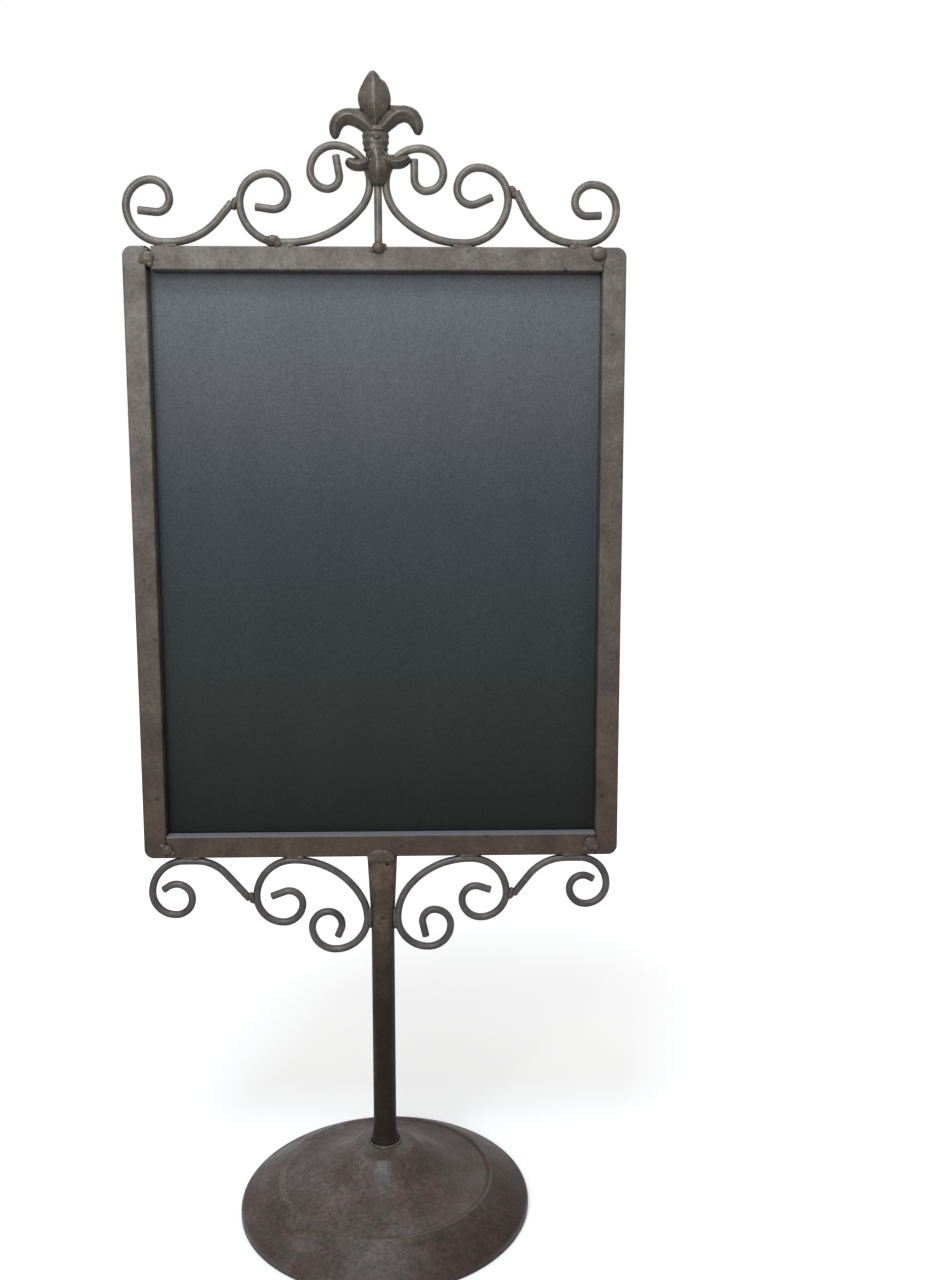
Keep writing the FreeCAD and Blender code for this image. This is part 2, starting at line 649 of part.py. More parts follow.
def makePost():
    """Round tube, belled at the foot and flattened at the top to the depth of the frame's bar."""
    body = newBody("post_tube")
    bell = "BaseHeight + PostFootFlare"
    neck = "FrameBottom - PostTopTaper"
    inner = "PostDiameter - 2 * PostWall"
    foot = newSketch(body, "PostBell", "XZ_Plane")
    footRadius, radius, wall = num("PostFootDiameter / 2"), num("PostDiameter / 2"), num("PostWall")
    low, high = num("BaseHeight"), num(bell)
    drop, flare = high - low, footRadius - radius
    sweep = (drop ** 2 + flare ** 2) / (2 * flare)
    angle = math.asin(drop / sweep)
    hub = Vector(radius + sweep, high)
    outer = foot.addGeometry(Part.ArcOfCircle(Part.Circle(hub, Vector(0, 0, 1), sweep), math.pi, math.pi + angle))
    innerHub = hub - Vector(wall, 0)
    lining = foot.addGeometry(
        Part.ArcOfCircle(Part.Circle(innerHub, Vector(0, 0, 1), sweep), math.pi, math.pi + angle))
    sill = foot.addGeometry(Part.LineSegment(Vector(footRadius - wall, low), Vector(footRadius, low)))
    head = foot.addGeometry(Part.LineSegment(Vector(radius - wall, high), Vector(radius, high)))
    for first, second in (((outer, 1), (head, 2)), ((lining, 1), (head, 1)), ((outer, 2), (sill, 2)),
                          ((lining, 2), (sill, 1))):
        foot.addConstraint(Sketcher.Constraint("Coincident", *first, *second))
    for item in (sill, head):
        foot.addConstraint(Sketcher.Constraint("Horizontal", item))
        constrain(foot, "PostWall", "DistanceX", item, 1, item, 2)
    for item in (outer, lining):
        foot.addConstraint(Sketcher.Constraint("Horizontal", item, 1, item, 3))
    constrain(foot, "PostDiameter / 2", "DistanceX", -1, 1, head, 2)
    constrain(foot, bell, "DistanceY", -1, 1, head, 2)
    constrain(foot, "PostFootDiameter / 2", "DistanceX", -1, 1, sill, 2)
    constrain(foot, "BaseHeight", "DistanceY", -1, 1, sill, 2)
    revolve(body, foot)
    shank = newSketch(body, "PostShank", "XY_Plane", ("0", "0", bell))
    circle(shank, "PostDiameter")
    circle(shank, inner)
    pad(body, shank, f"{neck} - ({bell})")
    for name, kind, wide, deep, tube in (
            ("PostTaper", "AdditiveLoft", "PostTopWidth", "PostTopDepth", "PostDiameter"),
            ("PostThroat", "SubtractiveLoft", "PostTopWidth - 2 * PostWall", "PostTopDepth - 2 * PostWall", inner)):
        start = newSketch(body, f"{name}Start", "XY_Plane", ("0", "0", neck))
        circle(start, tube)
        end = newSketch(body, f"{name}End", "XY_Plane", ("0", "0", "FrameBottom"))
        ellipse(end, wide, deep)
        loft = body.newObject(f"PartDesign::{kind}", name)
        loft.Profile = start
        loft.Sections = [end]
        doc.recompute()
    vent = newSketch(body, "PostVent", "XZ_Plane", ("VentHoleOffset", "FrameBottom - VentHoleDrop", "0"))
    circle(vent, "VentHole")
    pocket(body, vent, "PostDiameter", reverse=True)
    return body


def makePlug():
    """Threaded plug pressed into the foot of the post."""
    body = newBody("threaded_plug")
    section = newSketch(body, "PlugSection", "XY_Plane", ("0", "0", "BaseHeight + PlugLift"))
    circle(section, "PostDiameter - 2 * PostWall")
    circle(section, "BoltDiameter")
    pad(body, section, "PlugLength")


# ---------- base ----------

def shellProfile(sketch, wall, floor):
    """Half section of the base's form, set in by wall from its outside and cut off level at floor."""
    points = [("0", floor), (f"BaseDiameter / 2 - {wall}", floor),
              (f"BaseDiameter / 2 - {wall}", f"RimHeight - {wall}"),
              ("BeadDiameter / 2", f"ValleyHeight + BeadRise - {wall}"),
              ("ValleyDiameter / 2", f"ValleyHeight - {wall}"),
              ("LandDiameter / 2", f"BaseHeight - LandDrop - {wall}"),
              ("SeatDiameter / 2", f"BaseHeight - {wall}"), ("0", f"BaseHeight - {wall}")]
    turns = [Vector(num(x), num(y)) for x, y in points]
    coneSide = 4
    chord = turns[coneSide + 1] - turns[coneSide]
    sag = num("ConeSag")
    radius = chord.Length ** 2 / (8 * sag) + sag / 2
    inward = Vector(chord.y, -chord.x).normalize()
    hub = (turns[coneSide] + turns[coneSide + 1]) * 0.5 + inward * (radius - sag)
    for index, start in enumerate(turns):
        end = turns[(index + 1) % len(turns)]
        if index == coneSide:
            angles = [math.atan2((point - hub).y, (point - hub).x) for point in (end, start)]
            sketch.addGeometry(Part.ArcOfCircle(Part.Circle(hub, Vector(0, 0, 1), radius), *angles))
        else:
            sketch.addGeometry(Part.LineSegment(start, end))
    begins = [2 if index == coneSide else 1 for index in range(len(points))]
    for index, (x, y) in enumerate(points):
        after = (index + 1) % len(points)
        sketch.addConstraint(Sketcher.Constraint("Coincident", index, 3 - begins[index], after, begins[after]))
        if x == "0":
            sketch.addConstraint(Sketcher.Constraint("PointOnObject", index, begins[index], -2))
        else:
            constrain(sketch, x, "DistanceX", -1, 1, index, begins[index])
        constrain(sketch, y, "DistanceY", -1, 1, index, begins[index])
    chordSquared = "((ValleyDiameter - LandDiameter) ^ 2 / 4 + (BaseHeight - LandDrop - ValleyHeight) ^ 2)"
    constrain(sketch, f"{chordSquared} / (8 * ConeSag) + ConeSag / 2", "Radius", coneSide)


def softenRings(body, base, wall):
    """Rounds the rings of the base's form where its slope changes."""
    rings = [("BaseDiameter / 2", "RimHeight", f"RimRound - {wall}"),
             ("BeadDiameter / 2", "ValleyHeight + BeadRise", "FormRound"),
             ("ValleyDiameter / 2", "ValleyHeight", "FormRound"),
             ("LandDiameter / 2", "BaseHeight - LandDrop", "2 * FormRound")]
    for index, (radiusText, heightText, roundText) in enumerate(rings):
        radius = num(radiusText) - (num(wall) if index == 0 else 0)
        level = num(f"{heightText} - {wall}")
        base = fillet(body, base, roundText,
                      lambda edge: hasattr(edge.Curve, "Radius") and abs(edge.Curve.Radius - radius) < 0.01
                      and abs(edge.BoundBox.ZMax - level) < 0.01 and edge.BoundBox.ZLength < 0.01)
    return base


def makeBaseShell():
    """Spun shell: seat for the post, a hollow cone, a raised bead, a sloping flange and a turned-down rim."""
    body = newBody("base_shell")
    outside = newSketch(body, "ShellOutside", "XZ_Plane")
    shellProfile(outside, "0", "BaseLift")
    softenRings(body, revolve(body, outside), "0")
    inside = newSketch(body, "ShellInside", "XZ_Plane")
    shellProfile(inside, "BaseWall", "0")
    before = body.Shape.Volume
    hollow = body.newObject("PartDesign::Groove", "ShellHollow")
    hollow.Profile = inside
    hollow.ReferenceAxis = (inside, ["V_Axis"])
    hollow.Angle = 360.0
    doc.recompute()
    if hollow.Shape.Volume >= before:
        raise RuntimeError("the shell is not hollow")
    softenRings(body, hollow, "BaseWall")
    hole = newSketch(body, "ShellHole", "XY_Plane", ("0", "0", "BaseHeight + 1"))
    circle(hole, "BoltDiameter + BoltClearance")
    pocket(body, hole, "BaseHeight / 2")
    return body


def ballastTop():
    """Height where the disc meets the shell's inner ring under the valley."""
    return "ValleyHeight - BaseWall"


def makeBallast():
    """Cast disc drawn up against the shell by the bolt, with a recess for the bolt's head."""
    body = newBody("ballast_disc")
    bottom = f"{ballastTop()} - BallastThickness"
    profile = newSketch(body, "BallastProfile", "XZ_Plane")
    hole = "(BoltDiameter + BoltClearance) / 2"
    outline(profile, [(hole, f"{bottom} + BallastRecessDepth"),
                      ("BallastRecessDiameter / 2", f"{bottom} + BallastRecessDepth"),
                      ("BallastRecessDiameter / 2", bottom),
                      ("ValleyDiameter / 2 + BallastMargin - BallastDraft", bottom),
                      ("ValleyDiameter / 2 + BallastMargin", ballastTop()),
                      (hole, ballastTop())])
    revolve(body, profile)
    return body


def washerBody(label, outer, thickness, top):
    """A flat ring. top is the height of its upper face."""
    body = newBody(label)
    section = newSketch(body, f"{label}Section", "XY_Plane", ("0", "0", f"{top} - {thickness}"))
    circle(section, outer)
    circle(section, "BoltDiameter")
    pad(body, section, thickness)


def makeBolt():
    """Hexagon-head bolt from below, through the ballast and the shell into the post's plug."""
    recess = f"{ballastTop()} - BallastThickness + BallastRecessDepth"
    washerBody("flat_washer", "WasherDiameter", "WasherThickness", recess)
    lockTop = f"({recess}) - WasherThickness"
    washerBody("lock_washer", "LockWasherDiameter", "LockWasherThickness", lockTop)
    under = f"{lockTop} - LockWasherThickness"
    body = newBody("base_bolt")
    shank = newSketch(body, "BoltShank", "XY_Plane", ("0", "0", under))
    circle(shank, "BoltDiameter")
    pad(body, shank, "BoltLength")
    head = newSketch(body, "BoltHead", "XY_Plane", ("0", "0", under))
    radius = num("BoltHeadWidth") / math.sqrt(3)
    points = [Vector(radius * math.cos(math.radians(60 * k)), radius * math.sin(math.radians(60 * k)))
              for k in range(6)]
    for index in range(6):
        head.addGeometry(Part.LineSegment(points[index], points[(index + 1) % 6]))
    ring = head.addGeometry(Part.Circle(Vector(), Vector(0, 0, 1), radius), True)
    for index in range(6):
        head.addConstraint(Sketcher.Constraint("Coincident", index, 2, (index + 1) % 6, 1))
        head.addConstraint(Sketcher.Constraint("PointOnObject", index, 1, ring))
        if index:
            head.addConstraint(Sketcher.Constraint("Equal", 0, index))
    head.addConstraint(Sketcher.Constraint("Coincident", ring, 3, -1, 1))
    head.addConstraint(Sketcher.Constraint("PointOnObject", 0, 1, -1))
    constrain(head, "BoltHeadWidth / sqrt(3)", "Radius", ring)
    pad(body, head, "BoltHeadHeight", reverse=True)


def makeFootPads():
    """Four rubber pads under the ballast, which carry the stand."""
    radius, circleRadius = num("FootPadDiameter") / 2, num("FootPadCircle") / 2
    height = num(f"{ballastTop()} - BallastThickness")
    pads = []
    padCount = 4
    for index in range(padCount):
        angle = math.radians(360 / padCount * (index + 0.5))
        place = Vector(circleRadius * math.cos(angle), circleRadius * math.sin(angle), 0)
        disc = Part.makeCylinder(radius, height, place)
        rim = [edge for edge in disc.Edges if len(edge.Vertexes) == 1 and edge.BoundBox.ZMax < 0.01]
        pads.append(disc.makeFillet(height / 4, rim))
    solidFeature("foot_pads", pads)


# ---------- welds ----------

# Shape shares of the beads: how much of its own radius or of the bar each one is set off, sunk or stretched.
railShare = {"BottomLeft": 0.4, "BottomRight": 0.52}
fillShare, fillDrop = 0.55, 0.62
wireCover = 0.98
jointReach, jointSlim, jointCover, jointLean = 1.15, 0.72, 1.12, 25
stemForward, stemSink = 0.55, 0.1
tongueShare = 0.95
notchDepth, notchCover = 2.6, 0.42
footSpread = 0.35
crumbShare = 0.005


def blob(centre, radii, lean=0):
    """An ellipsoid bead. lean turns it in the plane of the frame, in degrees."""
    stretch = FreeCAD.Matrix()
    stretch.scale(radii[0], radii[1], radii[2])
    shape = Part.makeSphere(1).transformGeometry(stretch)
    shape.rotate(Vector(), Vector(0, 1, 0), lean)
    shape.translate(Vector(*centre))
    return shape


def trimmed(bead, pieces, wanted=lambda centre: True):
    """The solids that are left of a bead outside the pieces that it joins. wanted picks them by their centre."""
    near = [piece for piece in pieces if piece.BoundBox.intersect(bead.BoundBox)]
    crumb = bead.Volume * crumbShare
    return [solid for solid in bead.cut(near).Solids
            if solid.Volume > crumb and wanted(solid.CenterOfMass)]


def makeCornerWelds(parts):
    """Bead at each joint of the frame, on the front face, and the fill in the top rail's short end."""
    face = -num("BarDepth") / 2
    joint = num("FrameWidth / 2 - BarFace")
    bottom, top = num("FrameBottom"), num("FrameBottom + FrameHeight")
    radius, swell = num("CornerBead") / 2, num("CornerBeadRise")
    bar = num("BarFace")
    gap = num("TopRailGap")
    beads = []
    highest = top - num("BarEdgeRound") - radius
    spots = ((-joint + gap / 2, top - bar / 2), (joint - radius / 2, highest),
             (-joint, bottom + bar * railShare["BottomLeft"]), (joint, bottom + bar * railShare["BottomRight"]))
    for x, z in spots:
        beads += trimmed(blob((x, face, z), (radius, swell, radius)), parts, lambda centre: centre.y < face)
    fillDepth = num("BarDepth - 2 * BarEdgeRound")
    fill = Part.makeBox(gap, fillDepth, bar * fillShare, Vector(-joint, -fillDepth / 2, top - bar * fillDrop))
    beads[0] = beads[0].fuse(fill.cut(parts)).removeSplitter()
    solidFeature("corner_welds", beads)


def seatPoint(corner, ring):
    """Where a scroll touches its rail: middle of the straight run, and the rail's surface."""
    side = 1 if corner.endswith("Right") else -1
    x = side * num(f"{seatOf(corner, ring)} + {corner}{ring}Run / 2")
    z = num("FrameBottom + FrameHeight") if corner.startswith("Top") else num("FrameBottom")
    return x, z


def makeSeatWelds(parts):
    """Long low beads where the scrolls lie on the rails."""
    y = -num(wirePlane)
    length, height, wire = num("SeatBeadLength") / 2, num("SeatBeadHeight"), num("WireDiameter") / 2
    beads = []
    for corner in corners:
        for ring in ("Inner", "Outer"):
            x, z = seatPoint(corner, ring)
            beads += trimmed(blob((x, y, z), (length, wire * wireCover, height)), parts)
    solidFeature("scroll_seat_welds", beads)


def makeJointWelds(parts):
    """Bead in the notch where each outer scroll's tail meets the inner scroll."""
    y, wire = -num(wirePlane), num("WireDiameter") / 2
    size = num("JointBead") / 2
    beads = []
    for corner in corners:
        side = 1 if corner.endswith("Right") else -1
        up = 1 if corner.startswith("Top") else -1
        inner = f"{corner}Inner"
        x = side * (num(f"{inner}Seat + {inner}Run + {inner}Curl") + wire * jointReach)
        level = num(wireLevel["Top" if up > 0 else "Bottom"])
        z = level + up * num(f"{inner}Curl + {corner}OuterLift")
        radii = (size * jointSlim, wire * jointCover, size)
        beads += trimmed(blob((x, y, z), radii, -side * up * jointLean), parts)
    solidFeature("scroll_joint_welds", beads)


def makeStemWeld(parts):
    """Round bead at the foot of the stem, run down over the rail's front edge."""
    radius = num("StemBead") / 2
    level = num("FrameBottom + FrameHeight")
    place = (num("StemOffset"), -num(wirePlane) - radius * stemForward, level - radius * stemSink)
    beads = trimmed(blob(place, (radius, radius, radius)), parts,
                    lambda centre: centre.z > level or centre.y < -num("BarDepth") / 2)
    solidFeature("stem_weld", beads)


def makePostWelds(parts):
    """Tongues of weld over the post's flattened end, front and back, and the beads beside the lower scrolls."""
    width, rise, swell = num("PostTopWidth") / 2, num("PostTongueRise"), num("PostTongueSwell")
    face = num("BarDepth") / 2
    level = num("FrameBottom")
    beads = []
    for side in (-1, 1):
        beads += trimmed(blob((0, side * face, level), (width * tongueShare, swell, rise)), parts,
                         lambda centre: abs(centre.y) > face)
    solidFeature("post_top_welds", beads)
    contact = num("PostDiameter / 2 + SeatGap")
    length, y = num("PostBeadLength") / 2, -num(wirePlane)
    beads = []
    for corner, side in (("BottomLeft", -1), ("BottomRight", 1)):
        z = num(wireLevel["Bottom"]) - num(f"{corner}InnerRise")
        radii = (notchDepth, num("WireDiameter") * notchCover, length)
        beads += trimmed(blob((side * contact, y, z), radii), parts,
                         lambda centre: math.hypot(centre.x, centre.y) > num("PostDiameter") / 2)
    solidFeature("post_side_welds", beads)


def makeFootWeld(parts):
    """Ring of weld around the foot of the post."""
    radius = num("FootBead") / 2
    level = num("BaseHeight")
    ring = Part.makeTorus(num("PostFootDiameter / 2") + radius * footSpread, radius, Vector(0, 0, level))
    solidFeature("post_foot_weld", trimmed(ring, parts, lambda centre: centre.z > level))


# ---------- assembly ----------

def shapesOf(*labels):
    doc.recompute()
    return [item.Shape for item in partObjects if item.Label in labels]


blanks = {-1: makeStile("left_stile", -1), 1: makeStile("right_stile", 1)}
makeEndPlugs(blanks)
makeRail("top_rail", "FrameBottom + FrameHeight - BarFace", "TopRailGap")
makeRail("bottom_rail", "FrameBottom", "0")
makeBoard()
makeClips()

stemContact = {"TopLeft": "StemDiameter / 2 + WireDiameter / 2 + SeatGap - StemOffset",
               "TopRight": "StemDiameter / 2 + WireDiameter / 2 + SeatGap + StemOffset",
               "BottomLeft": "PostDiameter / 2 + WireDiameter / 2 + SeatGap",
               "BottomRight": "PostDiameter / 2 + WireDiameter / 2 + SeatGap"}
scrollNames = []
topScrolls = []
for corner in corners:
    ending = re.sub("(?<!^)([A-Z])", r"_\1", corner).lower()
    scrollNames += [f"{ending}_inner_scroll", f"{ending}_outer_scroll"]
    inner = makeInnerScroll(scrollNames[-2], corner, stemContact[corner])
    makeOuterScroll(scrollNames[-1], corner)
    if corner.startswith("Top"):
        topScrolls.append(inner)

stem = makeStem()
doc.recompute()
makeFinial(stem, topScrolls)
makePost()
makePlug()
makeBaseShell()
makeBallast()
makeBolt()
makeFootPads()

frameShapes = shapesOf("left_stile", "right_stile", "top_rail", "bottom_rail", "stile_end_plugs")
scrollShapes = shapesOf(*scrollNames)
makeCornerWelds(frameShapes)
makeSeatWelds(frameShapes + scrollShapes + shapesOf("corner_welds"))
makeJointWelds(scrollShapes)
makeStemWeld(frameShapes + shapesOf("finial_stem"))
makePostWelds(frameShapes + scrollShapes + shapesOf("post_tube"))
makeFootWeld(shapesOf("post_tube", "base_shell"))

doc.recompute()
for item in doc.Objects:
    if "Invalid" in item.State or "Error" in item.State:
        raise RuntimeError(f"{item.Label} failed: {item.State}")
os.makedirs("parts", exist_ok=True)
for item in partObjects:
    if item.Shape.isNull() or not item.Shape.isValid():
        raise RuntimeError(f"{item.Label} has no valid shape")
    item.Shape.exportStep(os.path.join("parts", f"{item.Label}.step"))
    print(f"{item.Label}: {len(item.Shape.Solids)} solid(s), {item.Shape.Volume:.0f} mm3")
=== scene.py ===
import math

import bpy
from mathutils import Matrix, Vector


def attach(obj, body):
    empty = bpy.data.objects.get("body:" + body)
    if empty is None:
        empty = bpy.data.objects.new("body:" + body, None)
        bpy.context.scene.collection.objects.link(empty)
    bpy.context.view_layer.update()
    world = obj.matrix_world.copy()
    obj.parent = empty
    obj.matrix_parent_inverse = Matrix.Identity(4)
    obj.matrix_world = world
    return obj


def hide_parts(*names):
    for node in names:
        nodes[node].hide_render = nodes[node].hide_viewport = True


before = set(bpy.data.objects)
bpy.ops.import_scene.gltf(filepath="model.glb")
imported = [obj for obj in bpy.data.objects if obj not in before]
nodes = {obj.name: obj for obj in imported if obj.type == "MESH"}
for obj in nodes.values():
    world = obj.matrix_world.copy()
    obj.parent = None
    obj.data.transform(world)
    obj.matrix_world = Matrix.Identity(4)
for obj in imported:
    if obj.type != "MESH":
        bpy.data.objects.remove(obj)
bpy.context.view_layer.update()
print("frame loaded:", len(nodes), "nodes")

mm = 0.001

# Finishes.

# Colours are linear. dark, main and light are the paint's mottle and patch its scale, rust the worn spots and
# rustShare how far they spread, fleck the small olive or purple stains, pits the shade of small chips. grain
# is the scale of the fine grain, speck its contrast and bump its depth. under is painted shade on what faces
# down, hollow painted shade on what is nearer than nook to another face, and side painted shade on what lies
# to the right. edges is painted shade in dents and a painted highlight on ridges, joint is the line between
# rail and stile, dust a pale film on what faces up that is partly dust and partly a painted highlight, and
# rings are radius, width and shade. foot and top tint the whole by its height, over the span in metres: the
# darker foot is painted shade and the paler top a painted sheen, partly dust.
finishes = {
    "framePaint": {
        "dark": (0.056, 0.038, 0.031), "main": (0.092, 0.067, 0.055), "light": (0.130, 0.102, 0.086),
        "rust": (0.106, 0.060, 0.045), "rustShare": 0.35, "fleck": (0.078, 0.070, 0.050), "pits": 0.40,
        "patch": 45, "grain": 420, "speck": 0.26, "rough": 0.48, "gloss": 0.38, "bump": 0.30,
        "under": 0.45, "hollow": 0.40, "nook": 0.0018, "dust": 0.70, "joint": 0.22,
        "foot": (0.62, 0.50, 0.40), "top": (1.42, 1.66, 1.76), "span": (0.34, 0.86)},
    "rodPaint": {
        "dark": (0.052, 0.042, 0.038), "main": (0.098, 0.084, 0.070), "light": (0.156, 0.140, 0.110),
        "rust": (0.086, 0.078, 0.046), "rustShare": 0.35, "fleck": (0.070, 0.058, 0.072),
        "patch": 60, "grain": 600, "speck": 0.24, "rough": 0.40, "gloss": 0.50, "bump": 0.28,
        "under": 0.55, "hollow": 0.30, "nook": 0.004,
        "foot": (0.60, 0.60, 0.66), "top": (1.32, 1.34, 1.24), "span": (0.26, 0.90)},
    "castPaint": {
        "dark": (0.046, 0.036, 0.032), "main": (0.092, 0.073, 0.061), "light": (0.168, 0.145, 0.120),
        "rust": (0.104, 0.056, 0.034), "rustShare": 0.50, "fleck": (0.078, 0.078, 0.036),
        "patch": 110, "grain": 600, "speck": 0.24, "rough": 0.38, "gloss": 0.50, "bump": 0.30,
        "under": 0.50, "hollow": 0.45, "nook": 0.005, "edges": (0.75, 0.40),
        "foot": (0.92, 0.92, 0.88), "top": (1.25, 1.25, 1.22), "span": (0.87, 0.965)},
    # The post's top tint is a strong painted sheen, paler and bluer up the tube.
    "postPaint": {
        "dark": (0.0080, 0.0048, 0.0026), "main": (0.0150, 0.0088, 0.0050), "light": (0.027, 0.017, 0.010),
        "rust": (0.028, 0.014, 0.009), "rustShare": 0.35, "fleck": (0.014, 0.011, 0.006), "pits": 0.50,
        "patch": 60, "grain": 380, "speck": 0.24, "rough": 0.50, "gloss": 0.22, "bump": 0.25,
        "under": 0.80, "hollow": 0.30, "nook": 0.004,
        "foot": (0.90, 0.85, 0.75), "top": (5.0, 5.8, 7.2), "span": (0.185, 0.325)},
    # The base's side tint is painted shade on its right half, and its darker foot painted shade on the rim.
    "basePaint": {
        "dark": (0.044, 0.029, 0.025), "main": (0.076, 0.053, 0.047), "light": (0.112, 0.092, 0.090),
        "rust": (0.088, 0.050, 0.038), "rustShare": 0.55, "fleck": (0.056, 0.054, 0.036),
        "patch": 34, "grain": 330, "speck": 0.40, "rough": 0.38, "gloss": 0.42, "bump": 0.40,
        "under": 0.80, "hollow": 0.45, "nook": 0.005, "side": (0.56, 0.46, 0.40),
        "rings": ((0.0165, 0.0050, (0.86, 1.12, 1.06)), (0.0990, 0.0050, (0.92, 1.02, 0.90))),
        "foot": (0.74, 0.66, 0.66), "top": (1.05, 1.05, 1.08), "span": (0.006, 0.027)},
    "weldPaint": {
        "dark": (0.046, 0.031, 0.024), "main": (0.092, 0.063, 0.048), "light": (0.140, 0.108, 0.084),
        "rust": (0.104, 0.058, 0.041), "rustShare": 0.45, "fleck": (0.062, 0.056, 0.034),
        "patch": 160, "grain": 700, "speck": 0.24, "rough": 0.40, "gloss": 0.45, "bump": 0.30,
        "under": 0.50, "hollow": 0.25, "nook": 0.005, "edges": (0.60, 0.25),
        "foot": (0.80, 0.74, 0.72), "top": (1.15, 1.20, 1.14), "span": (0.33, 0.83)},
    "castIron": {
        "dark": (0.020, 0.020, 0.020), "main": (0.035, 0.035, 0.034), "light": (0.055, 0.054, 0.052),
        "rust": (0.080, 0.040, 0.025), "rustShare": 0.25, "fleck": (0.030, 0.030, 0.030),
        "patch": 30, "grain": 500, "speck": 0.22, "rough": 0.70, "gloss": 0.30, "bump": 0.45,
        "under": 1.0, "hollow": 0.60, "nook": 0.005,
        "foot": (1.0, 1.0, 1.0), "top": (1.0, 1.0, 1.0), "span": (0.0, 0.06)},
}

# What the aged paints have in common, with the ranges of their painted shade and painted highlights. Stops
# and ranges run from low to high, and the scales of spots, stains and roughness are shares of the patch's.
ageingAndShading = {
    "mottleStops": (0.30, 0.50, 0.72), "mottleDetail": 6,
    "spotScale": 0.6, "spotDetail": 4, "spotStops": (0.72, 0.80), "spotSpread": (0.3, 0.2),
    "stainScale": 3.1, "stainDetail": 3, "stainStops": (0.52, 0.66), "stainShare": 0.75,
    "speckDetail": 2, "speckStops": (0.28, 0.72),
    "pitScale": 140, "pitDetail": 0, "pitStops": (0.775, 0.800),
    "roughScale": 1.4, "roughDetail": 3, "roughStops": (0.3, 0.7), "smoother": 0.08, "rougher": 0.12,
    "facing": (-0.9, 0.7), "upShade": 1.06, "dustFacing": (0.55, 0.98), "dustColour": (0.24, 0.25, 0.28),
    "ridges": (0.44, 0.56), "sideRange": (-0.02, 0.08), "bumpDistance": 0.0004,
}
noiseRoughness = 0.6
bumpDetail = 3
nookLook = {"samples": 8, "range": (0.35, 0.90)}

# The dark line where the rails butt against the stiles, in metres from the frame's middle.
frameJoint = {"across": 0.18415, "width": 0.0011, "middle": 0.576, "rise": 0.235, "fade": 0.0005}


def wire(tree, start, end):
    tree.links.new(start, end)


# Turns a value into colour or grey, by stops of place and colour.
def colourRamp(tree, value, stops):
    ramp = tree.nodes.new("ShaderNodeValToRGB")
    while len(ramp.color_ramp.elements) < len(stops):
        ramp.color_ramp.elements.new(0.5)
    for element, (at, colour) in zip(ramp.color_ramp.elements, stops):
        element.position = at
        element.color = (*colour, 1)
    wire(tree, value, ramp.inputs["Fac"])
    return ramp.outputs["Color"]


# A noise on the piece's own place, seen through a ramp.
def noiseRamp(tree, place, scale, detail, stops):
    noise = tree.nodes.new("ShaderNodeTexNoise")
    noise.inputs["Scale"].default_value = scale
    noise.inputs["Detail"].default_value = detail
    noise.inputs["Roughness"].default_value = noiseRoughness
    wire(tree, place, noise.inputs["Vector"])
    return colourRamp(tree, noise.outputs["Fac"], stops)


def greyStops(places, low, high):
    return [(places[0], (low,) * 3), (places[1], (high,) * 3)]


def mixColour(tree, kind, share, first, second):
    mix = tree.nodes.new("ShaderNodeMix")
    mix.data_type = "RGBA"
    mix.blend_type = kind
    if isinstance(share, float):
        mix.inputs["Factor"].default_value = share
    else:
        wire(tree, share, mix.inputs["Factor"])
    for socket, value in ((mix.inputs["A"], first), (mix.inputs["B"], second)):
        if isinstance(value, tuple):
            socket.default_value = (*value, 1)
        else:
            wire(tree, value, socket)
    return mix.outputs["Result"]


def multiply(tree, colour, shade, share=1.0):
    return mixColour(tree, "MULTIPLY", share, colour, shade)


def greyRange(tree, value, low, high, first, last):
    ranged = tree.nodes.new("ShaderNodeMapRange")
    for socket, number in (("From Min", low), ("From Max", high), ("To Min", first), ("To Max", last)):
        ranged.inputs[socket].default_value = number
    wire(tree, value, ranged.inputs["Value"])
    return ranged.outputs["Result"]


def placeAlong(tree, vector, axis):
    split = tree.nodes.new("ShaderNodeSeparateXYZ")
    wire(tree, vector, split.inputs["Vector"])
    return split.outputs[axis]


def heightOf(tree, vector):
    return placeAlong(tree, vector, "Z")


def calculate(tree, operation, first, second):
    worked = tree.nodes.new("ShaderNodeMath")
    worked.operation = operation
    for socket, value in zip(worked.inputs, (first, second)):
        if isinstance(value, float):
            socket.default_value = value
        else:
            wire(tree, value, socket)
    return worked.outputs["Value"]


# 1 at the centre value, falling to 0 a width away from it.
def bandShare(tree, value, centre, width):
    rising = greyRange(tree, value, centre - width, centre, 0, 1)
    falling = greyRange(tree, value, centre, centre + width, 1, 0)
    return calculate(tree, "MINIMUM", rising, falling)


def jointShare(tree, place):
    fade = frameJoint["fade"]
    across = calculate(tree, "ABSOLUTE", placeAlong(tree, place, "X"), 0.0)
    rise = calculate(tree, "SUBTRACT", heightOf(tree, place), frameJoint["middle"])
    rise = calculate(tree, "ABSOLUTE", rise, 0.0)
    atEnds = greyRange(tree, rise, frameJoint["rise"] - fade, frameJoint["rise"] + fade, 0, 1)
    line = bandShare(tree, across, frameJoint["across"], frameJoint["width"])
    return calculate(tree, "MULTIPLY", line, atEnds)


def lengthOf(tree, vector):
    away = tree.nodes.new("ShaderNodeVectorMath")
    away.operation = "LENGTH"
    wire(tree, vector, away.inputs[0])
    return away.outputs["Value"]


# 1 on a ring round the upright axis, falling to 0 a width away from it.
def ringShare(tree, place, radius, width):
    flat = tree.nodes.new("ShaderNodeVectorMath")
    flat.operation = "MULTIPLY"
    flat.inputs[1].default_value = (1, 1, 0)
    wire(tree, place, flat.inputs[0])
    return bandShare(tree, lengthOf(tree, flat.outputs["Vector"]), radius, width)


